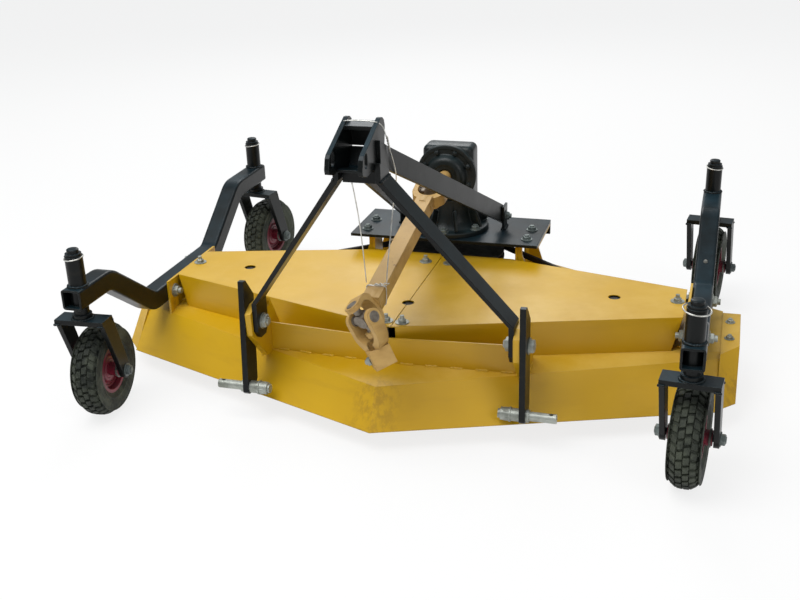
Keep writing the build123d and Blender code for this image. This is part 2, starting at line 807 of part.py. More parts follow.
def tyre():
    half = tyre_width / 2
    bead = rim_width / 2 - 4
    outline = [(rim_r, -bead), (rim_r + 16, -half + 1), (tyre_r - 26, -half), (tyre_r - 8, -half + 9),
               (tyre_r, -half + 26)]
    outline += [(r, -x) for r, x in reversed(outline)]
    face = make_face(Polyline(*outline, close=True))
    ring = revolve(Plane.XY * face, axis=Axis.Y)
    return Pos(0, trail, axle_z) * Rot(0, 0, 90) * ring


def wheel_rim():
    half = rim_width / 2
    barrel = Cylinder(rim_r, rim_width) - Cylinder(rim_r - 4, rim_width + 2)
    disc = Cylinder(rim_r - 1, 8)
    hub = Cylinder(hub_r, hub_length_wheel)
    wheel = barrel + disc + hub
    lip = Cylinder(rim_r + 7, 4) - Cylinder(rim_r - 2, 5)
    wheel += Pos(0, 0, half - 2) * lip + Pos(0, 0, -half + 2) * lip
    wheel -= Cylinder(axle_r + running_gap, hub_length_wheel + 10)
    return Pos(0, trail, axle_z) * Rot(0, 90, 0) * wheel


fork_form = caster_fork()
rim_form = wheel_rim()
tyre_form = tyre() - rim_form
for name, side, y, turn in caster_table:
    place = Pos(side * arm_x, y, 0) * Rot(0, 0, turn)
    pieces["caster_fork_" + name] = place * fork_form
    pieces["wheel_rim_" + name] = place * rim_form
    pieces["tyre_" + name] = place * tyre_form


def yoke(reach, hub_shape):
    # cast fork: ears along local X at the origin, hub towards local -Z
    outer = yoke_gap + yoke_ear
    base = -reach - yoke_floor
    shoulder = -0.4 * reach
    bulge = (yoke_base_r + 0.78 * (outer - yoke_base_r), shoulder + 0.6 * (base - shoulder))
    hood = make_face([
        Line((-outer, yoke_ear_r), (outer, yoke_ear_r)),
        Line((outer, yoke_ear_r), (outer, shoulder)),
        ThreePointArc((outer, shoulder), bulge, (yoke_base_r, base)),
        Line((yoke_base_r, base), (-yoke_base_r, base)),
        ThreePointArc((-yoke_base_r, base), (-bulge[0], bulge[1]), (-outer, shoulder)),
        Line((-outer, shoulder), (-outer, yoke_ear_r)),
    ])
    flank = rod_x(-outer, outer, 0, 0, yoke_ear_r)
    flank += side_plate([(-yoke_ear_r, 0), (yoke_ear_r, 0), (yoke_side, base), (-yoke_side, base)], -outer, outer)
    form = extrude(Plane.XZ.offset(-yoke_base_r) * hood, amount=2 * yoke_base_r) & flank
    round_z = yoke_gap - reach
    form -= block(-yoke_gap, yoke_gap, -2 * yoke_base_r, 2 * yoke_base_r, round_z, yoke_ear_r + 1)
    form -= rod_y(0, -2 * yoke_base_r, 2 * yoke_base_r, round_z, yoke_gap)
    form += Pos(0, 0, base + 1) * hub_shape
    return form - rod_x(-outer - 1, outer + 1, 0, 0, cross_r + running_gap)


def cross_pin():
    # four caps in the ears, necks and a round body
    reach = yoke_gap + yoke_ear
    inner = yoke_gap - 3
    pin = rod_z(0, 0, -cross_r, cross_r, cross_body_r)
    pin += rod_x(-inner, inner, 0, 0, cross_neck_r) + rod_y(0, -inner, inner, 0, cross_neck_r)
    for side in (-1, 1):
        low, high = sorted((side * inner, side * reach))
        pin += rod_x(low, high, 0, 0, cross_r)
        pin += rod_y(0, low, high, 0, cross_r)
    return pin


def downward(length, shape):
    return Pos(0, 0, -length / 2) * shape


drop = radians(drop_angle)
rear_cross = Vector(0, rear_cross_y, input_z)
tube_way = Vector(0, -cos(drop), -sin(drop))
front_cross = rear_cross + tube_way * cross_spacing

# axes of the front joint as it hangs: through the tube's ears, through the loose yoke's ears, and its hub
over_way = Vector(0, -sin(drop), cos(drop))
yoke_turn = radians(front_yoke_turn)
ear_way = Vector(1, 0, 0) * cos(yoke_turn) - over_way * sin(yoke_turn)
cross_turn = radians(front_cross_turn)
pin_way = tube_way.cross(ear_way) * cos(cross_turn) + tube_way * sin(cross_turn)
bend = radians(tractor_bend)
hub_way = ear_way.cross(pin_way) * cos(bend) + ear_way * sin(bend)

cap_face_y = gear_front_y - input_flange - input_cap


def input_yoke():
    # ears above and below the rear cross, hub towards the gearbox
    fork = Rot(90, 0, 0) * Rot(0, 0, 90) * yoke(yoke_reach, downward(24, Cylinder(yoke_neck_r, 24)))
    stub = rod_y(0, yoke_reach + yoke_floor, cap_face_y + 28 - rear_cross_y, 0, input_shaft_r)
    return Pos(rear_cross) * (fork + stub)


def drive_tube():
    # local -Z runs from the rear cross to the front cross
    mid = cross_spacing - 2 * (yoke_reach + yoke_floor)
    hub = downward(tube_neck, Cylinder(yoke_neck_r, tube_neck))
    tube = Pos(0, 0, -cross_spacing / 2) * Box(2 * tube_half, 2 * tube_half, mid)
    rear = yoke(yoke_reach, hub)
    front = Pos(0, 0, -cross_spacing) * Rot(0, 0, front_yoke_turn) * Rot(180, 0, 0) * yoke(yoke_reach, hub)
    return tube + rear + front


def tractor_yoke():
    # hangs free: square hub with the splined bore, turned a little on the fork
    hub = Rot(0, 0, hub_turn) * Box(2 * hub_half, 2 * hub_half, hub_length)
    fork = yoke(tractor_reach, downward(hub_length, hub))
    low = 1 - tractor_reach - yoke_floor - hub_length
    fork -= rod_z(0, 0, low - 1, yoke_gap - tractor_reach, spline_r)
    return Plane(origin=front_cross, x_dir=pin_way, z_dir=-hub_way).location * fork


pieces["input_yoke"] = input_yoke()
pieces["rear_cross"] = Pos(rear_cross) * Rot(90, 0, 0) * cross_pin()
pieces["drive_tube"] = Pos(rear_cross) * Rot(drop_angle - 90, 0, 0) * drive_tube()
cross_place = Plane(origin=front_cross, x_dir=ear_way, z_dir=ear_way.cross(pin_way)).location
pieces["front_cross"] = cross_place * cross_pin()
pieces["tractor_yoke"] = tractor_yoke()

# the origin is under the middle of the footprint, on the tyres' ground
boxes = [shape.bounding_box() for shape in pieces.values()]
front_end = min(box.min.Y for box in boxes)
rear_end = max(box.max.Y for box in boxes)
to_middle = Pos(0, -(front_end + rear_end) / 2, tyre_r - axle_z)
print("front end", front_end, "rear end", rear_end, "front cross", front_cross)
os.makedirs("parts", exist_ok=True)
for node, shape in pieces.items():
    export_step(to_middle * shape, "parts/" + node + ".step")
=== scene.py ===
import json
import math
import bpy
import bmesh
from mathutils import Matrix, Vector


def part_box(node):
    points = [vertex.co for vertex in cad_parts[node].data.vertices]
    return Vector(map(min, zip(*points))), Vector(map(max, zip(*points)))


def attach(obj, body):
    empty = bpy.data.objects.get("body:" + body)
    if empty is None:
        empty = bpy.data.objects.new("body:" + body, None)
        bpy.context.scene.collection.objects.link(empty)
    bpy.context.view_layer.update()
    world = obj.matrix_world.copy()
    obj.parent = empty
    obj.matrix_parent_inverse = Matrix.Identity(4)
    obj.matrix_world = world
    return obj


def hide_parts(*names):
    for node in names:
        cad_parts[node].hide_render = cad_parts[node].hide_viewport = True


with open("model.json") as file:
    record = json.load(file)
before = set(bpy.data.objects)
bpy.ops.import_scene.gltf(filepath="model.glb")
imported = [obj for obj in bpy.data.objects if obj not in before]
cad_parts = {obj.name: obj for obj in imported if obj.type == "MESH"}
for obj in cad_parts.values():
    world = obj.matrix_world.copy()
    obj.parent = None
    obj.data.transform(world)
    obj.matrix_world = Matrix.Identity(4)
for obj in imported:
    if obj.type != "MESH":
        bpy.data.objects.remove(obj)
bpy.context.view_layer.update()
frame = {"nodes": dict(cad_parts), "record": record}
nodes = frame["nodes"]
print("frame loaded,", len(nodes), "nodes")


# small tools shared by every piece
def putIn(obj, body, material=None):
    # link a finished mesh, give it its paint and let it ride on its body
    bpy.context.scene.collection.objects.link(obj)
    if material is not None:
        obj.data.materials.append(material)
    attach(obj, body)
    return obj


# where the part's own millimetres lie in the frame: read off the gearbox plate's front edge
# and the tops of its lugs
plateSet = {"frontY": 110.0, "lugTopZ": 371.0}
plateLow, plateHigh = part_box("gearbox_plate")
partShift = (plateLow[1] - plateSet["frontY"] / 1000, plateHigh[2] - plateSet["lugTopZ"] / 1000)


def spot(x, y, z):
    # a point in the part's own millimetres, turned into the frame's metres
    return Vector((x / 1000, y / 1000 + partShift[0], z / 1000 + partShift[1]))


def spots(points):
    return [spot(*point) for point in points]


def meshObject(name, bm, smoothAngle=None):
    # closes a bmesh into an object; edges sharper than the angle stay hard
    bmesh.ops.recalc_face_normals(bm, faces=bm.faces)
    mesh = bpy.data.meshes.new(name)
    bm.to_mesh(mesh)
    bm.free()
    if smoothAngle is not None:
        mesh.shade_smooth()
        mesh.set_sharp_from_angle(angle=math.radians(smoothAngle))
    return bpy.data.objects.new(name, mesh)


def frameAt(point, axis):
    # matrix whose Z runs along axis, at a point in metres
    return Matrix.Translation(Vector(point)) @ Vector(axis).to_track_quat("Z", "Y").to_matrix().to_4x4()


def circle(radius, steps, height=0.0):
    angles = [2 * math.pi * k / steps for k in range(steps)]
    return [Vector((radius * math.cos(angle), radius * math.sin(angle), height)) for angle in angles]


def bridge(bm, rings, closed=False):
    # walls between neighbouring rings of corners, capped at both ends unless they close on themselves
    pairs = list(zip(rings, rings[1:]))
    if closed:
        pairs.append((rings[-1], rings[0]))
    for low, high in pairs:
        for k in range(len(low)):
            after = (k + 1) % len(low)
            bm.faces.new((low[k], low[after], high[after], high[k]))
    if not closed:
        bm.faces.new(rings[0])
        bm.faces.new(rings[-1])


def turned(bm, profile, place, steps=48, closed=False):
    # a lathe form: (radius, height) pairs spun round the place's Z
    rings = []
    for radius, height in profile:
        rings.append([bm.verts.new(place @ point) for point in circle(radius, steps, height)])
    bridge(bm, rings, closed)


def roundedBox(bm, size, place, radius, segments):
    box = bmesh.new()
    bmesh.ops.create_cube(box, size=1.0)
    bmesh.ops.scale(box, vec=size, verts=box.verts)
    bmesh.ops.bevel(box, geom=list(box.edges), offset=radius, segments=segments, profile=0.5, affect="EDGES")
    bmesh.ops.transform(box, matrix=place, verts=box.verts)
    mesh = bpy.data.meshes.new("roundedBox")
    box.to_mesh(mesh)
    box.free()
    bm.from_mesh(mesh)
    bpy.data.meshes.remove(mesh)


# Geometry Nodes: each tree is built here and turned into a plain mesh before it rides on a body
def newTree(name, inputs):
    tree = bpy.data.node_groups.new(name, "GeometryNodeTree")
    face = tree.interface
    face.new_socket("Geometry", in_out="INPUT", socket_type="NodeSocketGeometry")
    sockets = {}
    for label, kind, value in inputs:
        socket = face.new_socket(label, in_out="INPUT", socket_type="NodeSocket" + kind)
        if value is not None:
            socket.default_value = value
        sockets[label] = socket.identifier
    face.new_socket("Geometry", in_out="OUTPUT", socket_type="NodeSocketGeometry")
    source = tree.nodes.new("NodeGroupInput")
    sink = tree.nodes.new("NodeGroupOutput")
    return tree, source, sink, sockets


def link(tree, output, target):
    tree.links.new(output, target)


def feed(tree, socket, value):
    # set a socket to a number or a colour, or link another node's output to it
    if isinstance(value, bpy.types.NodeSocket):
        link(tree, value, socket)
    else:
        socket.default_value = value


def addNode(tree, kind, inputs, **settings):
    # a new node, with its settings and with inputs by name or number
    node = tree.nodes.new(kind)
    for label, value in settings.items():
        setattr(node, label, value)
    for key, value in inputs.items():
        feed(tree, node.inputs[key], value)
    return node


def maths(tree, operation, first, second):
    return addNode(tree, "ShaderNodeMath", {0: first, 1: second}, operation=operation).outputs[0]


def times(tree, first, second):
    return maths(tree, "MULTIPLY", first, second)


def finishTree(tree, source, sink, geometry):
    # the copies made real and painted
    realize = addNode(tree, "GeometryNodeRealizeInstances", {"Geometry": geometry})
    paint = addNode(tree, "GeometryNodeSetMaterial", {
        "Geometry": realize.outputs["Geometry"], "Material": source.outputs["Finish"]})
    link(tree, paint.outputs["Geometry"], sink.inputs["Geometry"])


def plainMesh(host):
    # the evaluated mesh of a helper object, which is thrown away
    bpy.context.scene.collection.objects.link(host)
    graph = bpy.context.evaluated_depsgraph_get()
    mesh = bpy.data.meshes.new_from_object(host.evaluated_get(graph))
    host.modifiers.clear()
    bpy.data.objects.remove(host)
    return mesh


def grow(name, baseMesh, kit, values):
    # run a tree over a base mesh and give back the plain mesh
    tree, sockets = kit
    host = bpy.data.objects.new(name + "Host", baseMesh)
    modifier = host.modifiers.new("repeat", "NODES")
    modifier.node_group = tree
    for label, value in values.items():
        modifier[sockets[label]] = value
    mesh = plainMesh(host)
    mesh.name = name
    return mesh


def copies(tree, points, shape, turn, **more):
    # one shape set on every point, turned as given
    inputs = {"Points": points, "Instance": shape, "Rotation": turn, **more}
    return addNode(tree, "GeometryNodeInstanceOnPoints", inputs).outputs["Instances"]


def vector(tree, **parts):
    return addNode(tree, "ShaderNodeCombineXYZ", parts).outputs["Vector"]


def lifted(tree, mesh, height):
    move = addNode(tree, "GeometryNodeTransform", {"Geometry": mesh, "Translation": vector(tree, Z=height)})
    return move.outputs["Geometry"]


def drum(tree, corners, radius, depth, topRadius=None):
    # a cylinder, or a cone where a top radius is given, standing on its base
    if topRadius is not None:
        sizes = {"Vertices": corners, "Radius Bottom": radius, "Radius Top": topRadius, "Depth": depth}
        return addNode(tree, "GeometryNodeMeshCone", sizes).outputs["Mesh"]
    made = addNode(tree, "GeometryNodeMeshCylinder", {"Vertices": corners, "Radius": radius, "Depth": depth})
    return lifted(tree, made.outputs["Mesh"], times(tree, depth, 0.5))


def boltTree():
    # washer, hexagon with a chamfered crown and a thread stub, set on points along their own axis
    tree, source, sink, sockets = newTree("boltOnPoints", [
        ("Head Radius", "Float", 0.009), ("Head Height", "Float", 0.007), ("Washer Radius", "Float", 0.014),
        ("Washer Height", "Float", 0.002), ("Stub Radius", "Float", 0.005), ("Stub Height", "Float", 0.004),
        ("Seed", "Int", 3), ("Finish", "Material", None)])
    out = source.outputs
    hexagonShare, crownShare, crownTaper, spinReach = 0.82, 0.18, 0.80, 6.28
    body = times(tree, out["Head Height"], hexagonShare)
    crownBase = maths(tree, "ADD", out["Washer Height"], body)
    stubBase = maths(tree, "ADD", out["Washer Height"], out["Head Height"])
    washer = drum(tree, 28, out["Washer Radius"], out["Washer Height"])
    head = lifted(tree, drum(tree, 6, out["Head Radius"], body), out["Washer Height"])
    crown = lifted(tree, drum(tree, 6, out["Head Radius"], times(tree, out["Head Height"], crownShare),
                              times(tree, out["Head Radius"], crownTaper)), crownBase)
    stub = lifted(tree, drum(tree, 14, out["Stub Radius"], out["Stub Height"]), stubBase)
    join = tree.nodes.new("GeometryNodeJoinGeometry")
    for piece in (washer, head, crown, stub):
        link(tree, piece, join.inputs["Geometry"])
    axis = addNode(tree, "GeometryNodeInputNamedAttribute", {"Name": "axis"}, data_type="FLOAT_VECTOR")
    align = addNode(tree, "FunctionNodeAlignRotationToVector", {
        "Vector": axis.outputs["Attribute"]}, axis="Z")
    placed = copies(tree, out["Geometry"], join.outputs["Geometry"], align.outputs["Rotation"])
    chance = addNode(tree, "FunctionNodeRandomValue", {3: spinReach, "Seed": out["Seed"]})
    turn = addNode(tree, "GeometryNodeRotateInstances", {
        "Instances": placed, "Rotation": vector(tree, Z=chance.outputs[1])})
    finishTree(tree, source, sink, turn.outputs["Instances"])
    return tree, sockets


def ringTree():
    # copies of the base mesh set round the X axis at an even pitch
    tree, source, sink, sockets = newTree("ringOfCopies", [
        ("Count", "Int", 30), ("Finish", "Material", None)])
    out = source.outputs
    points = addNode(tree, "GeometryNodePoints", {"Count": out["Count"]})
    index = addNode(tree, "GeometryNodeInputIndex", {})
    share = maths(tree, "DIVIDE", index.outputs[0], out["Count"])
    turn = vector(tree, X=times(tree, share, 2 * math.pi))
    finishTree(tree, source, sink, copies(tree, points.outputs[0], out["Geometry"], turn))
    return tree, sockets


def weldTree():
    # overlapping flattened drops along the base mesh's edges, uneven as hand welding is
    tree, source, sink, sockets = newTree("weldAlongEdges", [
        ("Drop Radius", "Float", 0.003), ("Pitch", "Float", 0.003), ("Seed", "Int", 5),
        ("Finish", "Material", None)])
    out = source.outputs
    curve = addNode(tree, "GeometryNodeMeshToCurve", {"Mesh": out["Geometry"]})
    points = addNode(tree, "GeometryNodeCurveToPoints", {
        "Curve": curve.outputs["Curve"], "Length": out["Pitch"]}, mode="LENGTH")
    drop = addNode(tree, "GeometryNodeMeshUVSphere", {
        "Segments": 10, "Rings": 6, "Radius": out["Drop Radius"]})
    size = addNode(tree, "FunctionNodeRandomValue", {
        0: (0.85, 0.75, 0.7), 1: (1.15, 1.2, 1.1), "Seed": out["Seed"]}, data_type="FLOAT_VECTOR")
    placed = copies(tree, points.outputs["Points"], drop.outputs["Mesh"], points.outputs["Rotation"],
                    Scale=size.outputs[0])
    finishTree(tree, source, sink, placed)
    return tree, sockets


boltKit = boltTree()
ringKit = ringTree()
weldKit = weldTree()


def pointMesh(name, points):
    # points with an axis each, for the bolts
    mesh = bpy.data.meshes.new(name)
    mesh.from_pydata([tuple(place) for place, way in points], [], [])
    axes = mesh.attributes.new("axis", "FLOAT_VECTOR", "POINT")
    for k, (place, way) in enumerate(points):
        axes.data[k].vector = Vector(way).normalized()
    return mesh


def lineMesh(name, lines):
    # loose edges along each line of points, for the welds
    mesh = bpy.data.meshes.new(name)
    corners, edges = [], []
    for line in lines:
        first = len(corners)
        corners += [tuple(point) for point in line]
        edges += [(first + k, first + k + 1) for k in range(len(line) - 1)]
    mesh.from_pydata(corners, edges, [])
    return mesh


def boltSize(head, washer, stub):
    # radius and height of a bolt's three parts
    return {"Head Radius": head[0], "Head Height": head[1], "Washer Radius": washer[0],
            "Washer Height": washer[1], "Stub Radius": stub[0], "Stub Height": stub[1]}


def setBolts(name, points, size, finish, body="mower"):
    mesh = grow(name, pointMesh(name + "Points", points), boltKit, {**size, "Finish": finish})
    return putIn(bpy.data.objects.new(name, mesh), body)


def setWelds(name, lines, drop, finish, body):
    values = {"Drop Radius": drop, "Pitch": drop * 0.9, "Seed": len(lines) + 4, "Finish": finish}
    mesh = grow(name, lineMesh(name + "Lines", lines), weldKit, values)
    mesh.shade_smooth()
    return putIn(bpy.data.objects.new(name, mesh), body)


def bentWire(name, paths, thickness, finish, body, closed=False):
    # round wire bent along each path of points
    data = bpy.data.curves.new(name, "CURVE")
    data.dimensions = "3D"
    data.bevel_depth = thickness / 2
    data.bevel_resolution = 3
    data.resolution_u = 6
    data.use_fill_caps = True
    for path in paths:
        spline = data.splines.new("NURBS")
        spline.points.add(len(path) - 1)
        for k, point in enumerate(path):
            spline.points[k].co = (*point, 1.0)
        spline.order_u = 3
        spline.use_cyclic_u = closed
        spline.use_endpoint_u = not closed
    mesh = plainMesh(bpy.data.objects.new(name + "Host", data))
    mesh.materials.clear()
    mesh.materials.append(finish)
    mesh.shade_smooth()
    return putIn(bpy.data.objects.new(name, mesh), body)


# paints and metals
def startMaterial(name):
    material = bpy.data.materials.new(name)
    material.use_nodes = True
    tree = material.node_tree
    return material, tree, tree.nodes["Principled BSDF"], tree.nodes.new("ShaderNodeTexCoord")


def noise(tree, coords, scale, detail=4.0, roughness=0.55, stretch=None):
    place = coords.outputs["Object"]
    if stretch is not None:
        place = addNode(tree, "ShaderNodeMapping", {"Scale": stretch, "Vector": place}).outputs["Vector"]
    return addNode(tree, "ShaderNodeTexNoise", {
        "Scale": scale, "Detail": detail, "Roughness": roughness, "Vector": place}).outputs["Fac"]


def spread(tree, value, low, high):
    # turn a value into a soft mask between low and high
    return addNode(tree, "ShaderNodeMapRange", {"From Min": low, "From Max": high, "Value": value},
                   interpolation_type="SMOOTHSTEP").outputs["Result"]


def blendColour(tree, mask, under, over):
    # colours are (red, green, blue) or another node's output
    under, over = ((*colour, 1.0) if isinstance(colour, tuple) else colour for colour in (under, over))
    inputs = {0: mask, 6: under, 7: over}
    return addNode(tree, "ShaderNodeMix", inputs, data_type="RGBA", clamp_factor=True).outputs[2]


def upward(tree, coords, low, high):
    # mask of the faces that look to the sky
    split = addNode(tree, "ShaderNodeSeparateXYZ", {0: coords.outputs["Normal"]})
    return spread(tree, split.outputs["Z"], low, high)


def softNormal(tree, radius):
    return addNode(tree, "ShaderNodeBevel", {"Radius": radius}, samples=4).outputs["Normal"]


def edgeMask(tree, normal, low=0.02, high=0.16):
    # how far a rounded normal leaves the flat one: the worn edges
    flat = addNode(tree, "ShaderNodeNewGeometry", {}).outputs["Normal"]
    dot = addNode(tree, "ShaderNodeVectorMath", {0: normal, 1: flat}, operation="DOT_PRODUCT")
    return spread(tree, maths(tree, "SUBTRACT", 1.0, dot.outputs["Value"]), low, high)


def nearby(tree, coords, place, reach):
    # mask that fades out with distance from a place on the object
    here = coords.outputs["Object"]
    away = addNode(tree, "ShaderNodeVectorMath", {0: here, 1: place}, operation="DISTANCE")
    return spread(tree, away.outputs["Value"], reach, reach * 0.2)


def surface(tree, shader, height, strength, distance, normal):
    bump = addNode(tree, "ShaderNodeBump", {
        "Strength": strength, "Distance": distance, "Height": height, "Normal": normal})
    link(tree, bump.outputs["Normal"], shader.inputs["Normal"])


def roughen(tree, shader, value, limits):
    # uneven roughness between two limits
    node = addNode(tree, "ShaderNodeMapRange", {"To Min": limits[0], "To Max": limits[1], "Value": value})
    link(tree, node.outputs["Result"], shader.inputs["Roughness"])


# what the paints share: rust colour, the colour of scuffs and of one painted shade patch, and the grain of
# each effect
paintGrain = {
    "rust": (0.11, 0.035, 0.012), "rustStep": 0.07, "scuffAndShadeColour": (0.085, 0.032, 0.013), "scuffAndShadeScale": 55.0,
    "scuffAndShadeStretch": (1.0, 1.0, 0.35), "streakScale": 6.0, "streakStretch": (1.0, 1.0, 6.0),
    "chipScale": 60.0, "roughScale": 14.0, "peelDepth": 0.0006}


def paintedSteel(name, look):
    # brushed or sprayed paint: uneven tone, streaks, a paler top-face layer that is part dust and part
    # painted sky sheen, chipped edges, rust, and scuffs of which one is painted shade
    material, tree, shader, coords = startMaterial(name)
    grain = paintGrain
    broad = noise(tree, coords, look["patchScale"], 3.0)
    colour = blendColour(tree, spread(tree, broad, 0.35, 0.68), look["paint"], look["shade"])
    streak = noise(tree, coords, grain["streakScale"], 5.0, 0.6, grain["streakStretch"])
    streaked = times(tree, spread(tree, streak, 0.52, 0.75), look["streakAmount"])
    colour = blendColour(tree, streaked, colour, look["stain"])
    # top faces get a paler layer, part dust and part painted sheen of the sky's light on them
    sky = upward(tree, coords, look["skyFrom"], 1.0)
    cloud = spread(tree, noise(tree, coords, look["dustAndSheenScale"], 6.0, 0.65), look["dustAndSheenFrom"], 0.80)
    dustAndSheen = times(tree, times(tree, sky, cloud), look["layerAmount"])
    colour = blendColour(tree, dustAndSheen, colour, look["dustAndSheen"])
    normal = softNormal(tree, look["edge"])
    broken = spread(tree, noise(tree, coords, grain["chipScale"], 4.0, 0.7), 0.42, 0.62)
    chips = times(tree, times(tree, edgeMask(tree, normal), broken), look["chipAmount"])
    colour = blendColour(tree, chips, colour, look["chip"])
    rust = noise(tree, coords, look["rustScale"], 8.0, 0.72)
    spotted = spread(tree, rust, look["rustFrom"], look["rustFrom"] + grain["rustStep"])
    colour = blendColour(tree, times(tree, spotted, look["rustAmount"]), colour, grain["rust"])
    # dark scratched patches round listed places: scuffs, and in one place painted shade
    for place, reach, amount in look.get("scuffsAndShade", ()):
        near = nearby(tree, coords, place, reach)
        scuffAndShadeGrain = noise(tree, coords, grain["scuffAndShadeScale"], 8.0, 0.75, grain["scuffAndShadeStretch"])
        scuffAndShade = times(tree, near, spread(tree, scuffAndShadeGrain, 0.44, 0.60))
        colour = blendColour(tree, times(tree, scuffAndShade, amount), colour, grain["scuffAndShadeColour"])
    link(tree, colour, shader.inputs["Base Color"])
    roughen(tree, shader, noise(tree, coords, grain["roughScale"], 5.0, 0.6), look["roughness"])
    shader.inputs["Specular IOR Level"].default_value = look["gloss"]
    peel = noise(tree, coords, look["peelScale"], 3.0)
    surface(tree, shader, peel, look["peel"], grain["peelDepth"], normal)
    return material


deckYellow = paintedSteel("deckYellow", {
    "paint": (0.600, 0.350, 0.0008), "shade": (0.500, 0.280, 0.0008), "patchScale": 2.0,
    "stain": (0.40, 0.225, 0.006), "streakAmount": 0.25,
    # paler top-face layer: part dust, part painted sky light on the tops
    "dustAndSheen": (0.70, 0.475, 0.110), "layerAmount": 0.75, "dustAndSheenScale": 2.6, "dustAndSheenFrom": 0.38, "skyFrom": 0.62,
    "edge": 0.0022, "chip": (0.20, 0.13, 0.04), "chipAmount": 0.45,
    "rustScale": 26.0, "rustFrom": 0.755, "rustAmount": 0.7,
    # the mark at the left arm mount's foot is painted shade under the arm; the other three are scuffs
    "scuffsAndShade": ((spot(0, -556, 90), 0.10, 0.22), (spot(-680, -170, 195), 0.055, 0.9),
               (spot(0, -505, 155), 0.09, 0.25), (spot(780, -200, 85), 0.09, 0.3)),
    "roughness": (0.30, 0.50), "gloss": 0.5, "peelScale": 160.0, "peel": 0.10})

frameBlack = paintedSteel("frameBlack", {
    "paint": (0.0042, 0.0056, 0.0056), "shade": (0.0030, 0.0040, 0.0040), "patchScale": 5.0,
    "stain": (0.016, 0.015, 0.011), "streakAmount": 0.4,
    # bluish top-face layer: painted sky sheen on the black tops, with some dust
    "dustAndSheen": (0.014, 0.034, 0.046), "layerAmount": 0.95, "dustAndSheenScale": 7.0, "dustAndSheenFrom": 0.22, "skyFrom": 0.30,
    "edge": 0.0025, "chip": (0.085, 0.10, 0.10), "chipAmount": 0.55,
    "rustScale": 30.0, "rustFrom": 0.75, "rustAmount": 0.6,
    "roughness": (0.24, 0.42), "gloss": 0.20, "peelScale": 130.0, "peel": 0.16})

castBlack = paintedSteel("castBlack", {
    "paint": (0.0060, 0.0095, 0.0095), "shade": (0.0042, 0.0065, 0.0065), "patchScale": 8.0,
    "stain": (0.024, 0.026, 0.020), "streakAmount": 0.5,
    # bluish top-face layer: painted sky sheen on the casting's tops, with some dust
    "dustAndSheen": (0.022, 0.044, 0.050), "layerAmount": 0.8, "dustAndSheenScale": 12.0, "dustAndSheenFrom": 0.30, "skyFrom": 0.25,
    "edge": 0.003, "chip": (0.06, 0.075, 0.075), "chipAmount": 0.5,
    "rustScale": 30.0, "rustFrom": 0.74, "rustAmount": 0.6,
    "roughness": (0.26, 0.44), "gloss": 0.30, "peelScale": 240.0, "peel": 0.5})

driveTan = paintedSteel("driveTan", {
    "paint": (0.520, 0.325, 0.105), "shade": (0.400, 0.230, 0.060), "patchScale": 14.0,
    "stain": (0.270, 0.145, 0.040), "streakAmount": 0.5,
    "dustAndSheen": (0.60, 0.42, 0.19), "layerAmount": 0.55, "dustAndSheenScale": 14.0, "dustAndSheenFrom": 0.35, "skyFrom": 0.2,
    "edge": 0.0022, "chip": (0.12, 0.075, 0.035), "chipAmount": 0.75,
    "rustScale": 42.0, "rustFrom": 0.64, "rustAmount": 0.75,
    "roughness": (0.40, 0.62), "gloss": 0.4, "peelScale": 180.0, "peel": 0.35})

rimRed = paintedSteel("rimRed", {
    "paint": (0.20, 0.012, 0.030), "shade": (0.11, 0.008, 0.018), "patchScale": 14.0,
    "stain": (0.05, 0.012, 0.014), "streakAmount": 0.5,
    "dustAndSheen": (0.24, 0.09, 0.09), "layerAmount": 0.5, "dustAndSheenScale": 14.0, "dustAndSheenFrom": 0.35, "skyFrom": 0.0,
    "edge": 0.0015, "chip": (0.06, 0.03, 0.03), "chipAmount": 0.6,
    "rustScale": 40.0, "rustFrom": 0.70, "rustAmount": 0.7,
    "roughness": (0.34, 0.5), "gloss": 0.45, "peelScale": 120.0, "peel": 0.15})


metalGrain = {
    "rust": (0.12, 0.045, 0.016), "rustStep": 0.12, "fine": 300.0, "strength": 0.12, "depth": 0.0004,
    "edge": 0.001}
rubberGrain = {"patch": 18.0, "speck": 90.0, "strength": 0.35, "depth": 0.0006, "edge": 0.0012}


def bareMetal(name, bright, dull, metallic, roughness, rustFrom, scale=30.0):
    # clouded metal with rust where the noise is highest
    material, tree, shader, coords = startMaterial(name)
    grain = metalGrain
    cloud = spread(tree, noise(tree, coords, scale, 5.0, 0.6), 0.35, 0.65)
    rust = spread(tree, noise(tree, coords, scale * 1.6, 8.0, 0.7), rustFrom, rustFrom + grain["rustStep"])
    colour = blendColour(tree, rust, blendColour(tree, cloud, bright, dull), grain["rust"])
    link(tree, colour, shader.inputs["Base Color"])
    shader.inputs["Metallic"].default_value = metallic
    roughen(tree, shader, noise(tree, coords, scale * 2, 5.0, 0.6), roughness)
    fine = noise(tree, coords, grain["fine"], 3.0)
    surface(tree, shader, fine, grain["strength"], grain["depth"], softNormal(tree, grain["edge"]))
    return material


zincPlate = bareMetal("zincPlate", (0.40, 0.42, 0.38), (0.22, 0.23, 0.20), 0.6, (0.36, 0.55), 0.64)
wornSteel = bareMetal("wornSteel", (0.30, 0.27, 0.23), (0.15, 0.12, 0.09), 0.75, (0.38, 0.6), 0.58)
greyIron = bareMetal("greyIron", (0.10, 0.10, 0.095), (0.05, 0.05, 0.048), 0.4, (0.5, 0.75), 0.62)
wireSteel = bareMetal("wireSteel", (0.72, 0.72, 0.68), (0.50, 0.49, 0.45), 0.8, (0.25, 0.4), 0.74, 60.0)
sealGrey = bareMetal("sealGrey", (0.20, 0.20, 0.18), (0.10, 0.10, 0.09), 0.5, (0.4, 0.6), 0.66)
plateGrey = bareMetal("plateGrey", (0.17, 0.20, 0.19), (0.07, 0.085, 0.085), 0.35, (0.35, 0.55), 0.70)


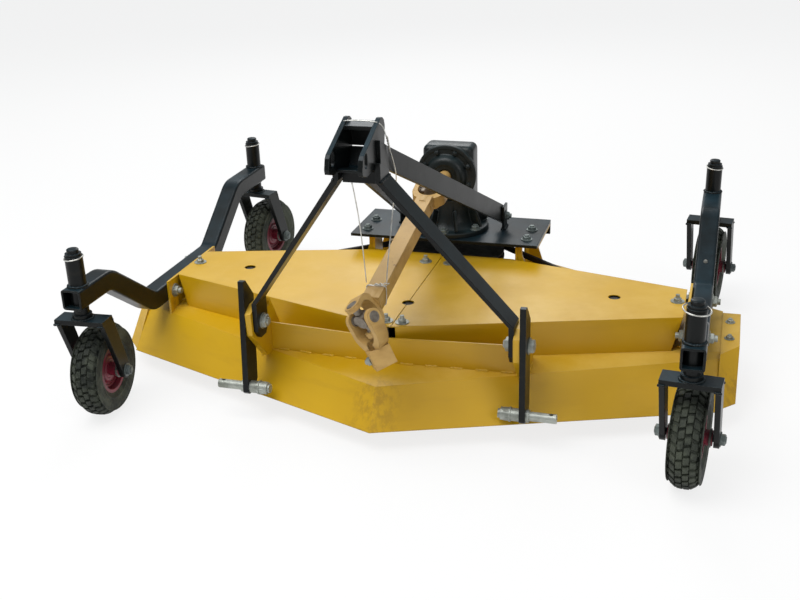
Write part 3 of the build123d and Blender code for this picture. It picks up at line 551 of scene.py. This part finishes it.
def rubber(name, base, dusty, layerAmount, bumpScale):
    # dull rubber with dust lying in patches
    material, tree, shader, coords = startMaterial(name)
    grain = rubberGrain
    patch = spread(tree, noise(tree, coords, grain["patch"], 6.0, 0.65), 0.38, 0.66)
    speck = spread(tree, noise(tree, coords, grain["speck"], 4.0, 0.6), 0.40, 0.70)
    grey = blendColour(tree, patch, base, dusty)
    colour = blendColour(tree, times(tree, speck, layerAmount), grey, dusty)
    link(tree, colour, shader.inputs["Base Color"])
    shader.inputs["Roughness"].default_value = 0.72
    shader.inputs["Specular IOR Level"].default_value = 0.35
    bumps = noise(tree, coords, bumpScale, 4.0, 0.6)
    surface(tree, shader, bumps, grain["strength"], grain["depth"], softNormal(tree, grain["edge"]))
    return material


tyreRubber = rubber("tyreRubber", (0.010, 0.013, 0.010), (0.060, 0.068, 0.048), 0.45, 220.0)
beltRubber = rubber("beltRubber", (0.012, 0.012, 0.012), (0.035, 0.034, 0.030), 0.3, 300.0)

finishes = {
    "deck_paint": deckYellow, "frame_paint": frameBlack, "driveline_paint": driveTan, "rim_paint": rimRed,
    "zinc": zincPlate, "bare_steel": wornSteel, "cast_iron": greyIron, "belt": beltRubber, "tyre": tyreRubber}
for part in frame["record"]["subparts"]:
    painted = nodes[part["node"]].data.materials
    painted.clear()
    painted.append(finishes[part["material_slot"]])
# the photograph shows these two in the deck's yellow
for side in ("left", "right"):
    nodes["arm_mount_" + side].data.materials[0] = deckYellow
print("paints and metals on the frame's nodes")


# wheels: the carcass is turned on the axle, its tread repeats round it
casterSet = {
    "front_left": {"side": -1, "y": -573.0, "turn": 4.0},
    "front_right": {"side": 1, "y": -573.0, "turn": -5.0},
    "rear_left": {"side": -1, "y": 448.0, "turn": -8.0},
    "rear_right": {"side": 1, "y": 448.0, "turn": -6.0}}
armX = 699.0
wheelSet = {
    "trail": 60.0, "axleHeight": 136.0, "outerRadius": 0.116, "halfWidth": 0.036, "treadDepth": 0.0065,
    "pitches": 32, "blockLength": 0.0155, "crownDrop": 0.024, "crownPower": 3.2}
# half sections, (radius, place across) in metres
tyreSide = [
    (0.056, 0.023), (0.0585, 0.0265), (0.062, 0.0275), (0.064, 0.0292), (0.070, 0.0318), (0.0715, 0.0332),
    (0.0735, 0.0333), (0.075, 0.0325), (0.083, 0.0345), (0.092, 0.0352), (0.0985, 0.0342), (0.0998, 0.0350),
    (0.102, 0.0350), (0.1035, 0.0336)]
rimDish = [
    (0.017, 0.019), (0.023, 0.019), (0.025, 0.017), (0.031, 0.0165), (0.036, 0.0115), (0.041, 0.0115),
    (0.0425, 0.0155), (0.046, 0.0155), (0.048, 0.0110), (0.0515, 0.0110), (0.0515, 0.005), (0.017, 0.005)]
hubSeal = [
    (0.0092, 0.0462), (0.0155, 0.0462), (0.0175, 0.0445), (0.0205, 0.0440), (0.0205, 0.0400),
    (0.0165, 0.0392), (0.0092, 0.0392)]


def casterPlace(name, forward=0.0, height=0.0):
    # matrix of a caster's fork at rest, moved along its trail and up
    row = casterSet[name]
    turn = math.radians(row["turn"])
    x = row["side"] * armX - forward * math.sin(turn)
    y = row["y"] + forward * math.cos(turn)
    return Matrix.Translation(spot(x, y, height)) @ Matrix.Rotation(turn, 4, "Z")


def crown(x):
    # radius of the tread's outline at a place across the tyre
    share = (abs(x) / wheelSet["halfWidth"]) ** wheelSet["crownPower"]
    return wheelSet["outerRadius"] - wheelSet["crownDrop"] * share


def treadBlock(bm, x0, x1, middle, length, tilt):
    # one block of the tread, wider at its foot, with its top edges broken
    flare, sink = 0.0012, wheelSet["treadDepth"] + 0.001
    corners = []
    for wider, drop in ((flare, sink), (0.0, 0.0)):
        half = length / 2 + wider
        for x, y in ((x0 - wider, -half), (x1 + wider, -half), (x1 + wider, half), (x0 - wider, half)):
            radius = crown(x) - drop
            angle = (middle + y + (x - (x0 + x1) / 2) * tilt) / wheelSet["outerRadius"]
            corners.append(bm.verts.new((x, radius * math.sin(angle), radius * math.cos(angle))))
    low, high = corners[:4], corners[4:]
    top = bm.faces.new(high)
    bm.faces.new(low[::-1])
    for k in range(4):
        bm.faces.new((low[k], low[(k + 1) % 4], high[(k + 1) % 4], high[k]))
    bmesh.ops.bevel(bm, geom=list(top.edges), offset=0.0009, segments=1, affect="EDGES")


def makeTread():
    pitch = 2 * math.pi * wheelSet["outerRadius"] / wheelSet["pitches"]
    # (inner edge, outer edge, share of a pitch right and left, share of the block's length, tilt)
    rows = ((0.0012, 0.0130, 0.0, 0.5, 1.0, 0.25), (0.0155, 0.0270, 0.5, 0.0, 0.92, -0.45),
            (0.0285, 0.0340, 0.62, 0.12, 0.55, -0.2))
    bm = bmesh.new()
    for inner, outer, right, left, share, tilt in rows:
        length = wheelSet["blockLength"] * share
        treadBlock(bm, inner, outer, pitch * right, length, tilt)
        treadBlock(bm, -outer, -inner, pitch * left, length, tilt)
    bmesh.ops.recalc_face_normals(bm, faces=bm.faces)
    unit = bpy.data.meshes.new("treadPitch")
    bm.to_mesh(unit)
    bm.free()
    return grow("tread", unit, ringKit, {"Count": wheelSet["pitches"], "Finish": tyreRubber})


def makeWheels():
    tread = makeTread()
    side = tyreSide + [(crown(x) - wheelSet["treadDepth"], x) for x in (0.030, 0.024, 0.016, 0.008, 0.0)]
    profile = side + [(radius, -x) for radius, x in reversed(side[:-1])]
    steps = 96
    across = Matrix.Rotation(math.radians(90), 4, "Y")
    bothWays = (across, across @ Matrix.Rotation(math.pi, 4, "X"))
    faces = (("rim_dish_", rimDish, 64, "rim_paint", rimRed), ("hub_seal_", hubSeal, 40, "zinc", sealGrey))
    for name in casterSet:
        place = casterPlace(name, wheelSet["trail"], wheelSet["axleHeight"])
        body = "wheel_" + name
        bm = bmesh.new()
        turned(bm, profile, place @ across, steps, closed=True)
        bm.from_mesh(tread)
        bm.verts.ensure_lookup_table()
        bmesh.ops.transform(bm, matrix=place, verts=bm.verts[len(profile) * steps:])
        tyre = putIn(meshObject("tyre_tread_" + name, bm, 32), body, tyreRubber)
        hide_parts("tyre_" + name)
        for label, outline, count, slotName, finish in faces:
            bm = bmesh.new()
            for way in bothWays:
                turned(bm, outline, place @ way, count, closed=True)
            putIn(meshObject(label + name, bm, 30), body, finish)
    print("wheels dressed")


makeWheels()

# casters: axle nuts on the legs, a ring and a cap on each stem, and weld beads on the crown
axleNut = boltSize(head=(0.0128, 0.0095), washer=(0.0165, 0.0022), stub=(0.0072, 0.0012))
stemRing = {
    "radius": 0.0225, "looseRadius": 0.0285, "wire": 0.0032, "height": 450.0, "tilt": 7.0, "about": 1.1}
forkSet = {"nutX": 0.062, "crownTop": 298.0, "stemRadius": 0.0245, "legX": (0.0505, 0.0615), "legY": 0.026,
           "legZ": -0.012, "bead": 0.0030, "beadZ": 0.0008, "capHeight": 467.8, "capFlat": 0.6}
stemCap = [(0.009, 0.0072), (0.0125, 0.0058), (0.0142, 0.003), (0.0142, 0.0)]


def makeCasters():
    for name, row in casterSet.items():
        body = "caster_" + name
        axle = casterPlace(name, wheelSet["trail"], wheelSet["axleHeight"])
        way = axle.to_3x3() @ Vector((1, 0, 0))
        points = [(axle @ Vector((hand * forkSet["nutX"], 0, 0)), way * hand) for hand in (-1, 1)]
        setBolts("axle_nuts_" + name, points, axleNut, plateGrey, body)
        tilt = Matrix.Rotation(math.radians(stemRing["tilt"]), 4, "X")
        about = Matrix.Rotation(stemRing["about"] * row["side"], 4, "Z")
        ring = casterPlace(name, 0.0, stemRing["height"]) @ about @ tilt
        radius = stemRing["looseRadius"] if name == "front_right" else stemRing["radius"]
        path = [ring @ point for point in circle(radius, 16)]
        bentWire("stem_ring_" + name, [path], stemRing["wire"], wireSteel, body, True)
        top = casterPlace(name, 0.0, forkSet["crownTop"])
        stem = [top @ point for point in circle(forkSet["stemRadius"], 24, forkSet["beadZ"])]
        beads = [stem + stem[:1]]
        for hand in (-1, 1):
            for y in (-forkSet["legY"], forkSet["legY"]):
                beads.append([top @ Vector((hand * x, y, forkSet["legZ"])) for x in forkSet["legX"]])
        setWelds("crown_weld_" + name, beads, forkSet["bead"], frameBlack, body)
        bm = bmesh.new()
        flat = Matrix.Diagonal((1, 1, forkSet["capFlat"], 1))
        turned(bm, stemCap, casterPlace(name, 0.0, forkSet["capHeight"]) @ flat, 40)
        putIn(meshObject("stem_cap_" + name, bm, 35), body, frameBlack)
    print("casters dressed")


makeCasters()

# the frame's bolts by place, with the way that each looks: part millimetres
mountBolt = boltSize(head=(0.0135, 0.010), washer=(0.0185, 0.0026), stub=(0.0078, 0.008))
plateBolt = boltSize(head=(0.0115, 0.0085), washer=(0.0155, 0.0022), stub=(0.0064, 0.003))
coverNut = boltSize(head=(0.0098, 0.0085), washer=(0.0170, 0.0018), stub=(0.0052, 0.008))
skirtBolt = boltSize(head=(0.0085, 0.0065), washer=(0.0120, 0.0016), stub=(0.0046, 0.003))
lugBolt = boltSize(head=(0.0115, 0.0085), washer=(0.0150, 0.0022), stub=(0.0066, 0.005))
pinNut = boltSize(head=(0.0160, 0.0140), washer=(0.0172, 0.004), stub=(0.0110, 0.003))
spindleSet = {
    "places": ((491.0, -78.0), (-491.0, -78.0), (0.0, -222.0)), "boltCircle": 60.0, "flangeTop": 178.0}
# the left link hangs turned about its pivot, and its pin with it
pivotSet = {"y": -431.0, "z": 267.6, "inner": 301.0, "outer": 342.6, "shank": 0.009, "past": 17.0,
            "over": 29.0}
pinSet = {"x": 308.0, "y": -456.0, "z": 104.0, "leftTurn": -5.0}


def pinPlace(side):
    swing = math.radians(pinSet["leftTurn"] if side < 0 else 0.0)
    downY, downZ = pinSet["y"] - pivotSet["y"], pinSet["z"] - pivotSet["z"]
    return spot(side * pinSet["x"], pivotSet["y"] + downY * math.cos(swing) - downZ * math.sin(swing),
                pivotSet["z"] + downY * math.sin(swing) + downZ * math.cos(swing))


def mirroredBolts(rows):
    # rows are (x, y, z, way) on the right; the left is their mirror
    points = []
    for x, y, z, way in rows:
        points.append((spot(x, y, z), Vector(way)))
        points.append((spot(-x, y, z), Vector((-way[0], way[1], way[2]))))
    return points


def makeFrameBolts():
    out, inn, up = (1, 0, 0), (-1, 0, 0), (0, 0, 1)
    plan = {
        "mount_bolts": (mountBolt, zincPlate, [(668.0, -185.0, 215.0, inn), (668.0, 30.0, 220.0, inn),
                                               (724.0, -185.0, 215.0, out), (724.0, 30.0, 220.0, out)]),
        "plate_bolts": (plateBolt, plateGrey, [(227.0, 235.0, 305.0, up), (227.0, 155.0, 305.0, up)]),
        "cover_nuts": (coverNut, zincPlate, [(643.0, -73.0, 255.0, up), (20.0, -342.0, 255.0, up),
                                             (33.0, 62.0, 255.0, up)]),
        "skirt_bolts": (skirtBolt, zincPlate, [(772.0, 20.0, 171.0, up), (772.0, -80.0, 171.0, up)]),
        "lug_bolts": (lugBolt, plateGrey, [(137.0, 243.0, 340.0, inn), (151.0, 243.0, 340.0, out)]),
        "foot_bolts": (plateBolt, zincPlate, [(232.0, 160.0, 174.0, up), (232.0, 290.0, 174.0, up)])}
    for name, (size, finish, rows) in plan.items():
        setBolts(name, mirroredBolts(rows), size, finish)
    flange = [(spot(x + offset.x, y + offset.y, offset.z), Vector(up)) for x, y in spindleSet["places"]
              for offset in circle(spindleSet["boltCircle"], 4, spindleSet["flangeTop"])]
    setBolts("spindle_bolts", flange, plateBolt, zincPlate)
    for name, side in (("left", -1), ("right", 1)):
        row = [(pinPlace(side), Vector((-side, 0, 0)))]
        setBolts("pin_nut_" + name, row, pinNut, zincPlate, "lower_link_" + name)
    print("frame bolts set")


makeFrameBolts()

# pivot bolts: a shank through bracket, leg and link with a hexagon at each end
pivotNut = boltSize(head=(0.0165, 0.0105), washer=(0.0195, 0.0024), stub=(0.0088, 0.001))


def makePivotBolts():
    y, z, radius, bevel = pivotSet["y"], pivotSet["z"], pivotSet["shank"], 0.0012
    length = (pivotSet["outer"] - pivotSet["inner"] + pivotSet["over"]) / 1000
    shaft = [(radius - bevel, 0.0), (radius, bevel), (radius, length - bevel), (radius - bevel, length)]
    for name, side in (("left", -1), ("right", 1)):
        bm = bmesh.new()
        start = spot(side * (pivotSet["inner"] - pivotSet["past"]), y, z)
        turned(bm, shaft, frameAt(start, (side, 0, 0)), 28)
        shank = putIn(meshObject("pivot_shank_" + name, bm, 30), "mower", zincPlate)
        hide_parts("pivot_bolt_" + name)
        points = [(spot(side * pivotSet["inner"], y, z), Vector((-side, 0, 0))),
                  (spot(side * pivotSet["outer"], y, z), Vector((side, 0, 0)))]
        setBolts("pivot_nuts_" + name, points, pivotNut, zincPlate)
    print("pivot bolts set")


makePivotBolts()

# gearbox: a cast body with a round input flange and a waist down to its base; sections in metres
gearSet = {"y": 217.0, "mid": 219.5, "front": 183.0, "rear": 256.0, "half": 71.0, "top": 547.0, "low": 388.0,
           "input": 470.0, "round": 0.017, "base": 319.0, "flangeSink": 4.0, "capSink": 3.0,
           "ribs": 8, "ribSize": (0.034, 0.007, 0.058), "ribAt": (0.078, 0, 0.346), "ribLean": -24}
# circles of bolts: radius, how many, where the first one stands in degrees
gearBolts = {"front": (66, 8, 22.5), "rear": (42, 4, 45), "base": (93, 6, 0)}
gearWaist = [
    (0.030, 0.305), (0.1035, 0.305), (0.105, 0.3065), (0.105, 0.3165), (0.1030, 0.3190), (0.086, 0.3195),
    (0.079, 0.324), (0.070, 0.340), (0.063, 0.362), (0.060, 0.385), (0.060, 0.400), (0.030, 0.400)]
gearFlange = [
    (0.040, 0.0), (0.0820, 0.0), (0.0820, 0.0035), (0.0830, 0.0045), (0.0830, 0.0155), (0.0815, 0.0178),
    (0.0730, 0.0180), (0.0715, 0.0165), (0.0590, 0.0165), (0.0560, 0.0195), (0.0535, 0.0285),
    (0.0490, 0.0345), (0.0420, 0.0375), (0.0330, 0.0380), (0.0310, 0.0365), (0.0215, 0.0365),
    (0.0195, 0.0345), (0.0195, 0.0200)]
gearCap = [(0.052, 0.0), (0.052, 0.0090), (0.0500, 0.0125), (0.030, 0.0130), (0.026, 0.0150), (0.004, 0.0150)]
coverScrew = boltSize(head=(0.0068, 0.0055), washer=(0.0082, 0.001), stub=(0.003, 0.0006))


def boltCircle(centre, radius, count, start, way):
    # bolts round a centre, from a start in degrees, in the plane that their way crosses
    points = []
    for k in range(count):
        angle = math.radians(start + 360 / count * k)
        along, rise = radius * math.sin(angle), radius * math.cos(angle)
        offset = (along, rise, 0) if way[2] else (along, 0, rise)
        points.append((spot(*(Vector(centre) + Vector(offset))), Vector(way)))
    return points


def makeGearbox():
    bm = bmesh.new()
    size = (2 * gearSet["half"] / 1000, (gearSet["rear"] - gearSet["front"]) / 1000,
            (gearSet["top"] - gearSet["low"]) / 1000)
    middle = spot(0, gearSet["mid"], (gearSet["top"] + gearSet["low"]) / 2)
    roundedBox(bm, size, Matrix.Translation(middle), gearSet["round"], 5)
    upright = Matrix.Translation(spot(0, gearSet["y"], 0.0))
    turned(bm, gearWaist, upright, 96, closed=True)
    lean = Matrix.Translation(gearSet["ribAt"]) @ Matrix.Rotation(math.radians(gearSet["ribLean"]), 4, "Y")
    for k in range(gearSet["ribs"]):
        turn = Matrix.Rotation(math.radians(22.5 + 45 * k), 4, "Z")
        roundedBox(bm, gearSet["ribSize"], upright @ turn @ lean, 0.002, 2)
    face = frameAt(spot(0, gearSet["front"] + gearSet["flangeSink"], gearSet["input"]), (0, -1, 0))
    turned(bm, gearFlange, face, 96, closed=True)
    back = frameAt(spot(0, gearSet["rear"] - gearSet["capSink"], gearSet["input"]), (0, 1, 0))
    turned(bm, gearCap, back, 72)
    housing = putIn(meshObject("gearbox_casting", bm, 32), "mower", castBlack)
    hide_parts("gearbox_housing")
    front = boltCircle((0, gearSet["front"] - 12.6, gearSet["input"]), *gearBolts["front"], (0, -1, 0))
    rear = boltCircle((0, gearSet["rear"] + 9.3, gearSet["input"]), *gearBolts["rear"], (0, 1, 0))
    setBolts("cover_screws", front + rear, coverScrew, castBlack, "mower")
    base = boltCircle((0, gearSet["y"], gearSet["base"]), *gearBolts["base"], (0, 0, 1))
    setBolts("base_bolts", base, plateBolt, plateGrey)
    print("gearbox dressed")


makeGearbox()

# driveline: snap rings round the crosses' bearing caps, and the clamp bolt of the loose yoke
jointSet = {"rear": (0.0, 15.0, 470.0), "front": (0.0, -560.814, 355.985), "reach": 42.0}
earWay = Vector((0.559193, 0.161028, -0.813249))
pinWay = Vector((0.76867, -0.468178, 0.435839))
hubWay = Vector((0.443959, -0.100032, -0.890446))
capRing = [(0.0010, -0.0006), (0.0102, -0.0006), (0.0106, 0.0008), (0.0126, 0.0010), (0.0130, 0.0002),
           (0.0130, -0.003), (0.0010, -0.003)]
hubSet = {"reach": 92.0, "face": 25.0, "turn": -29.0}
clampBolt = boltSize(head=(0.0098, 0.010), washer=(0.0112, 0.002), stub=(0.006, 0.003))


def makeCaps():
    pairs = [("rear", Vector((1, 0, 0)), "mower"), ("rear", Vector((0, 0, 1)), "mower"),
             ("front", earWay, "mower"), ("front", pinWay, "tractor_yoke")]
    for number, (end, across, body) in enumerate(pairs):
        bm = bmesh.new()
        for way in (-across, across):
            ear = spot(*jointSet[end]) + way * jointSet["reach"] / 1000
            turned(bm, capRing, frameAt(ear, way), 36, closed=True)
        putIn(meshObject("cap_rings_" + str(number), bm, 30), body, wornSteel)
    print("cross caps set")


makeCaps()


def makeClampBolt():
    # out of the hub's left side
    across = hubWay.cross(pinWay).normalized()
    turn = Matrix.Rotation(math.radians(hubSet["turn"]), 3, hubWay)
    way = min((turn @ side for side in (pinWay, across, -pinWay, -across)), key=lambda side: side.x)
    centre = spot(*jointSet["front"]) + hubWay * hubSet["reach"] / 1000
    foot = centre + way * hubSet["face"] / 1000
    setBolts("clamp_bolt", [(foot, way)], clampBolt, zincPlate, "tractor_yoke")
    print("clamp bolt set")


makeClampBolt()

# taut wire from the mast head down to the drive tube, tied at both ends: part millimetres
wireSet = {"thickness": 0.0026, "grip": 24.0, "gripY": -466.0, "gripZ": 374.5, "square": 0.35, "wave": 2.5,
           "twists": 2.5, "tailTwists": 3.0, "loose": 1.05}
headWire = [(-47, -505, 748), (-47, -512, 768), (-42, -521, 782), (-30, -526, 787), (0, -527, 788),
            (30, -526, 787), (43, -521, 782), (49, -514, 768), (51, -510, 752)]
rightWire = [(53, -497, 722), (55, -478, 690), (54, -455, 650), (38, -425, 605), (27, -402, 570),
             (25, -412, 530), (25, -432, 488), (23, -452, 430), (24, -461, 405)]
leftWire = [(-20, -536, 656), (-20, -528, 640), (-20, -500, 560), (-20, -482, 470), (-21, -470, 405)]


def helix(start, end, turns, offset=0.0):
    # one strand of a twist between two points
    place = frameAt(spot(*start), spot(*end) - spot(*start))
    length = (spot(*end) - spot(*start)).length
    radius = wireSet["thickness"] / 2 * wireSet["loose"]
    steps = max(int(turns * 8), 4)
    points = []
    for k in range(steps + 1):
        angle = 2 * math.pi * turns * k / steps + offset
        across, rise = radius * math.cos(angle), radius * math.sin(angle)
        points.append(place @ Vector((across, rise, length * k / steps)))
    return points


def makeWire():
    # the loop round the tube is nearly square, as the tube is
    loop = []
    for k in range(21):
        angle = 2 * math.pi * k / 20
        side, rise = (wireSet["grip"] * math.copysign(abs(value) ** wireSet["square"], value)
                      for value in (math.cos(angle), math.sin(angle)))
        loop.append((side, wireSet["gripY"] + wireSet["wave"] * math.sin(3 * angle), wireSet["gripZ"] + rise))
    high, low = (52, -510, 754), (53, -497, 722)
    tie, twists, tail = (-2, -468, 401), wireSet["twists"], wireSet["tailTwists"]
    paths = [spots(headWire), helix(high, low, twists), helix(high, low, twists, math.pi), spots(rightWire),
             spots(leftWire), spots(loop), helix(tie, (34, -474, 409), tail),
             helix(tie, (30, -478, 404), tail, math.pi)]
    bentWire("tie_wire", paths, wireSet["thickness"], wireSteel, "mower")
    print("wire tied")


makeWire()


# stitch welds: short beads with gaps, part millimetres
def stitches(start, end, bead, gap):
    # as many beads as fit between two points, with what is left over shared by both ends
    start, end = Vector(start), Vector(end)
    length = (end - start).length
    count = max(int((length + gap) // (bead + gap)), 1)
    spare = (length - count * bead - (count - 1) * gap) / 2
    way = (end - start).normalized()
    firsts = [start + way * (spare + k * (bead + gap)) for k in range(count)]
    return [spots((first, first + way * bead)) for first in firsts]


weldSet = {"wall": 0.0036, "deck": 0.0040, "frame": 0.0042, "sleeve": 21.6, "sleeveTop": 380.8}


def makeWelds():
    wall, deck, frames = [], [], []
    for side in (-1, 1):
        wall += stitches((side * 308.0, -362.9, 161.4), (side * 14.0, -388.8, 168.0), 26.0, 34.0)
        deck += stitches((side * 328.6, -392.0, 155.6), (side * 328.6, -315.0, 166.2), 30.0, 12.0)
        deck += stitches((side * 312.4, -380.0, 159.0), (side * 312.4, -315.0, 166.6), 28.0, 14.0)
        deck += stitches((side * 206.6, 140.0, 174.6), (side * 206.6, 318.0, 174.6), 30.0, 40.0)
        for y in (-573.0, 448.0):
            sleeve = [(side * armX + point.x, y + point.y, point.z)
                      for point in circle(weldSet["sleeve"], 20, weldSet["sleeveTop"])]
            frames.append(spots(sleeve + sleeve[:1]))
        frames.append(spots([(side * 53.0, -562.0, 668.0), (side * 53.0, -504.0, 668.0)]))
        for x in (151.6, 144.4):
            frames.append(spots([(side * x, 222.0, 305.8), (side * x, 264.0, 305.8)]))
    setWelds("wall_welds", wall, weldSet["wall"], deckYellow, "mower")
    setWelds("deck_welds", deck, weldSet["deck"], deckYellow, "mower")
    setWelds("frame_welds", frames, weldSet["frame"], frameBlack, "mower")
    print("welds run")


makeWelds()

# the mast head's inner sheet, bent down between the cheeks, and the keyhole pressed in the right arm
headSet = {"half": 30.5, "slotY": -615.0, "slotZ": 728.0, "sheet": 5.0}
keySet = {"wide": 8.0, "narrow": 4.2, "widen": 1.35, "length": 34.0, "rise": 2.2, "steps": 40,
          "low": (armX, 129.0, 267.5), "high": (armX, 262.0, 363.5), "along": 30.0,
          "boltAlong": 20.0, "boltRise": 0.5}
keyBolt = boltSize(head=(0.0062, 0.005), washer=(0.0075, 0.0016), stub=(0.0036, 0.003))


def folded(name, line):
    # a sheet bent along (y, z) points
    half, sheet = headSet["half"], headSet["sheet"]
    bm = bmesh.new()
    rows = []
    for k, (y, z) in enumerate(line):
        before, after = line[max(k - 1, 0)], line[min(k + 1, len(line) - 1)]
        way = (Vector(after) - Vector(before)).normalized() * sheet
        rows.append([bm.verts.new(point) for point in spots([
            (-half, y, z), (half, y, z), (half, y + way.y, z - way.x), (-half, y + way.y, z - way.x)])])
    bridge(bm, rows)
    return putIn(meshObject(name, bm, 30), "mower", frameBlack)


def makeHeadSheet():
    y, z = headSet["slotY"], headSet["slotZ"]
    folded("mast_inner_sheet", [(y + 81, z - 44), (y + 97, z - 38), (y + 108, z - 22), (y + 117, z - 2)])
    folded("mast_floor_sheet", [(y + 20, z - 27), (y + 52, z - 30), (y + 80, z - 40)])


def makeKeyhole():
    # teardrop rim standing a little proud of the arm's rising top face, with a bolt in its low end
    start = Vector(keySet["low"])
    way = (Vector(keySet["high"]) - start).normalized()
    over = Vector((0, -way.z, way.y))
    bm = bmesh.new()
    rings = []
    for reach, rise in ((1.0, -1.0), (1.0, 0.55), (0.82, 1.0), (0.60, 0.75), (0.52, -0.6)):
        ring = []
        for k in range(keySet["steps"]):
            angle = 2 * math.pi * k / keySet["steps"]
            along = math.cos(angle) * keySet["length"] / 2 * reach
            wide = keySet["narrow"] + (keySet["wide"] - keySet["narrow"]) * (1 - math.cos(angle)) / 2
            point = start + way * (keySet["along"] + along) + over * rise * keySet["rise"]
            point.x += math.sin(angle) * wide * keySet["widen"] * reach
            ring.append(bm.verts.new(spot(*point)))
        rings.append(ring)
    bridge(bm, rings)
    putIn(meshObject("arm_keyhole", bm, 40), "mower", frameBlack)
    foot = start + way * keySet["boltAlong"] + over * keySet["boltRise"]
    setBolts("keyhole_bolt", [(spot(*foot), over)], keyBolt, sealGrey)


makeHeadSheet()
makeKeyhole()
print("mast sheet and keyhole in place")

# camera, lamps and floor
bpy.context.scene.view_settings.view_transform = "Standard"
cameraPlace = {
    "at": spot(731.3, -2624.0, 1319.5), "yaw": 0.3036, "pitch": 0.3985, "roll": -0.0335, "lens": 49.31}


def setCamera(place):
    yaw, pitch, roll = place["yaw"], place["pitch"], place["roll"]
    forward = Vector((-math.sin(yaw) * math.cos(pitch), math.cos(yaw) * math.cos(pitch), -math.sin(pitch)))
    right = Vector((math.cos(yaw), math.sin(yaw), 0.0))
    up = right.cross(forward)
    across = right * math.cos(roll) + up * math.sin(roll)
    upright = -right * math.sin(roll) + up * math.cos(roll)
    data = bpy.data.cameras.new("camera")
    data.lens = place["lens"]
    data.sensor_width = 36.0
    data.clip_start, data.clip_end = 0.05, 60.0
    camera = bpy.data.objects.new("camera", data)
    turn = Matrix((across, upright, -forward)).transposed().to_4x4()
    camera.matrix_world = Matrix.Translation(Vector(place["at"])) @ turn
    bpy.context.scene.collection.objects.link(camera)
    bpy.context.scene.camera = camera


setCamera(cameraPlace)

lightPlan = {
    "sky": {"at": (-1.2, -1.6, 4.2), "size": 3.6, "power": 150.0, "aim": (0.0, 0.0, 0.2)},
    "fill": {"at": (3.4, -2.6, 2.4), "size": 2.4, "power": 34.0, "aim": (0.0, 0.0, 0.3)},
    "back": {"at": (-1.0, 3.4, 3.0), "size": 2.6, "power": 60.0, "aim": (0.0, 0.0, 0.3)}}
backdrop = {
    "worldStrength": 0.46, "skyFrom": -0.25, "skyTo": 0.8,
    "lowSky": (0.42, 0.44, 0.42), "highSky": (1.0, 1.04, 1.08),
    "floorColour": (0.86, 0.86, 0.85), "floorRoughness": 0.9, "whiteShare": 0.80, "floorReach": 14.0}


def setLights(plan):
    for name, lamp in plan.items():
        data = bpy.data.lights.new(name, "AREA")
        data.shape = "DISK"
        data.size = lamp["size"]
        data.energy = lamp["power"]
        light = bpy.data.objects.new(name, data)
        place, aim = Vector(lamp["at"]), Vector(lamp["aim"])
        turn = (aim - place).to_track_quat("-Z", "Y").to_matrix().to_4x4()
        light.matrix_world = Matrix.Translation(place) @ turn
        bpy.context.scene.collection.objects.link(light)


def looksStraight(tree):
    # 1 where the camera, a mirror or glass looks straight at the surface
    path = tree.nodes.new("ShaderNodeLightPath")
    value = path.outputs["Is Camera Ray"]
    for other in ("Is Glossy Ray", "Is Transmission Ray"):
        value = maths(tree, "MAXIMUM", value, path.outputs[other])
    return value


def mixShaders(tree, mask, under, over):
    return addNode(tree, "ShaderNodeMixShader", {0: mask, 1: under, 2: over}).outputs[0]


def setWorld(look):
    # the camera sees white, everything else a dimmer sky
    world = bpy.data.worlds.new("world")
    bpy.context.scene.world = world
    world.use_nodes = True
    tree = world.node_tree
    tree.nodes.clear()
    coords = addNode(tree, "ShaderNodeTexCoord", {})
    split = addNode(tree, "ShaderNodeSeparateXYZ", {0: coords.outputs["Generated"]})
    height = spread(tree, split.outputs["Z"], look["skyFrom"], look["skyTo"])
    sky = blendColour(tree, height, look["lowSky"], look["highSky"])
    dim = addNode(tree, "ShaderNodeBackground", {"Strength": look["worldStrength"], "Color": sky})
    white = addNode(tree, "ShaderNodeBackground", {"Strength": 1.0, "Color": (1.0, 1.0, 1.0, 1.0)})
    seen = addNode(tree, "ShaderNodeLightPath", {}).outputs["Is Camera Ray"]
    mixed = mixShaders(tree, seen, dim.outputs[0], white.outputs[0])
    addNode(tree, "ShaderNodeOutputWorld", {"Surface": mixed})


def setFloor(look):
    bm = bmesh.new()
    bmesh.ops.create_grid(bm, x_segments=1, y_segments=1, size=look["floorReach"])
    floor = meshObject("floor", bm)
    bpy.context.scene.collection.objects.link(floor)
    material, tree, shader, coords = startMaterial("paleFloor")
    shader.inputs["Base Color"].default_value = (*look["floorColour"], 1.0)
    shader.inputs["Roughness"].default_value = look["floorRoughness"]
    glow = addNode(tree, "ShaderNodeEmission", {"Strength": 1.0})
    share = times(tree, looksStraight(tree), look["whiteShare"])
    lit = mixShaders(tree, share, shader.outputs[0], glow.outputs[0])
    # from below the floor is seen through, so that the blades can be looked at
    below = addNode(tree, "ShaderNodeNewGeometry", {}).outputs["Backfacing"]
    clear = addNode(tree, "ShaderNodeBsdfTransparent", {})
    mixed = mixShaders(tree, below, lit, clear.outputs[0])
    link(tree, mixed, tree.nodes["Material Output"].inputs["Surface"])
    floor.data.materials.append(material)


setLights(lightPlan)
setWorld(backdrop)
setFloor(backdrop)
print("camera, lamps and floor set")
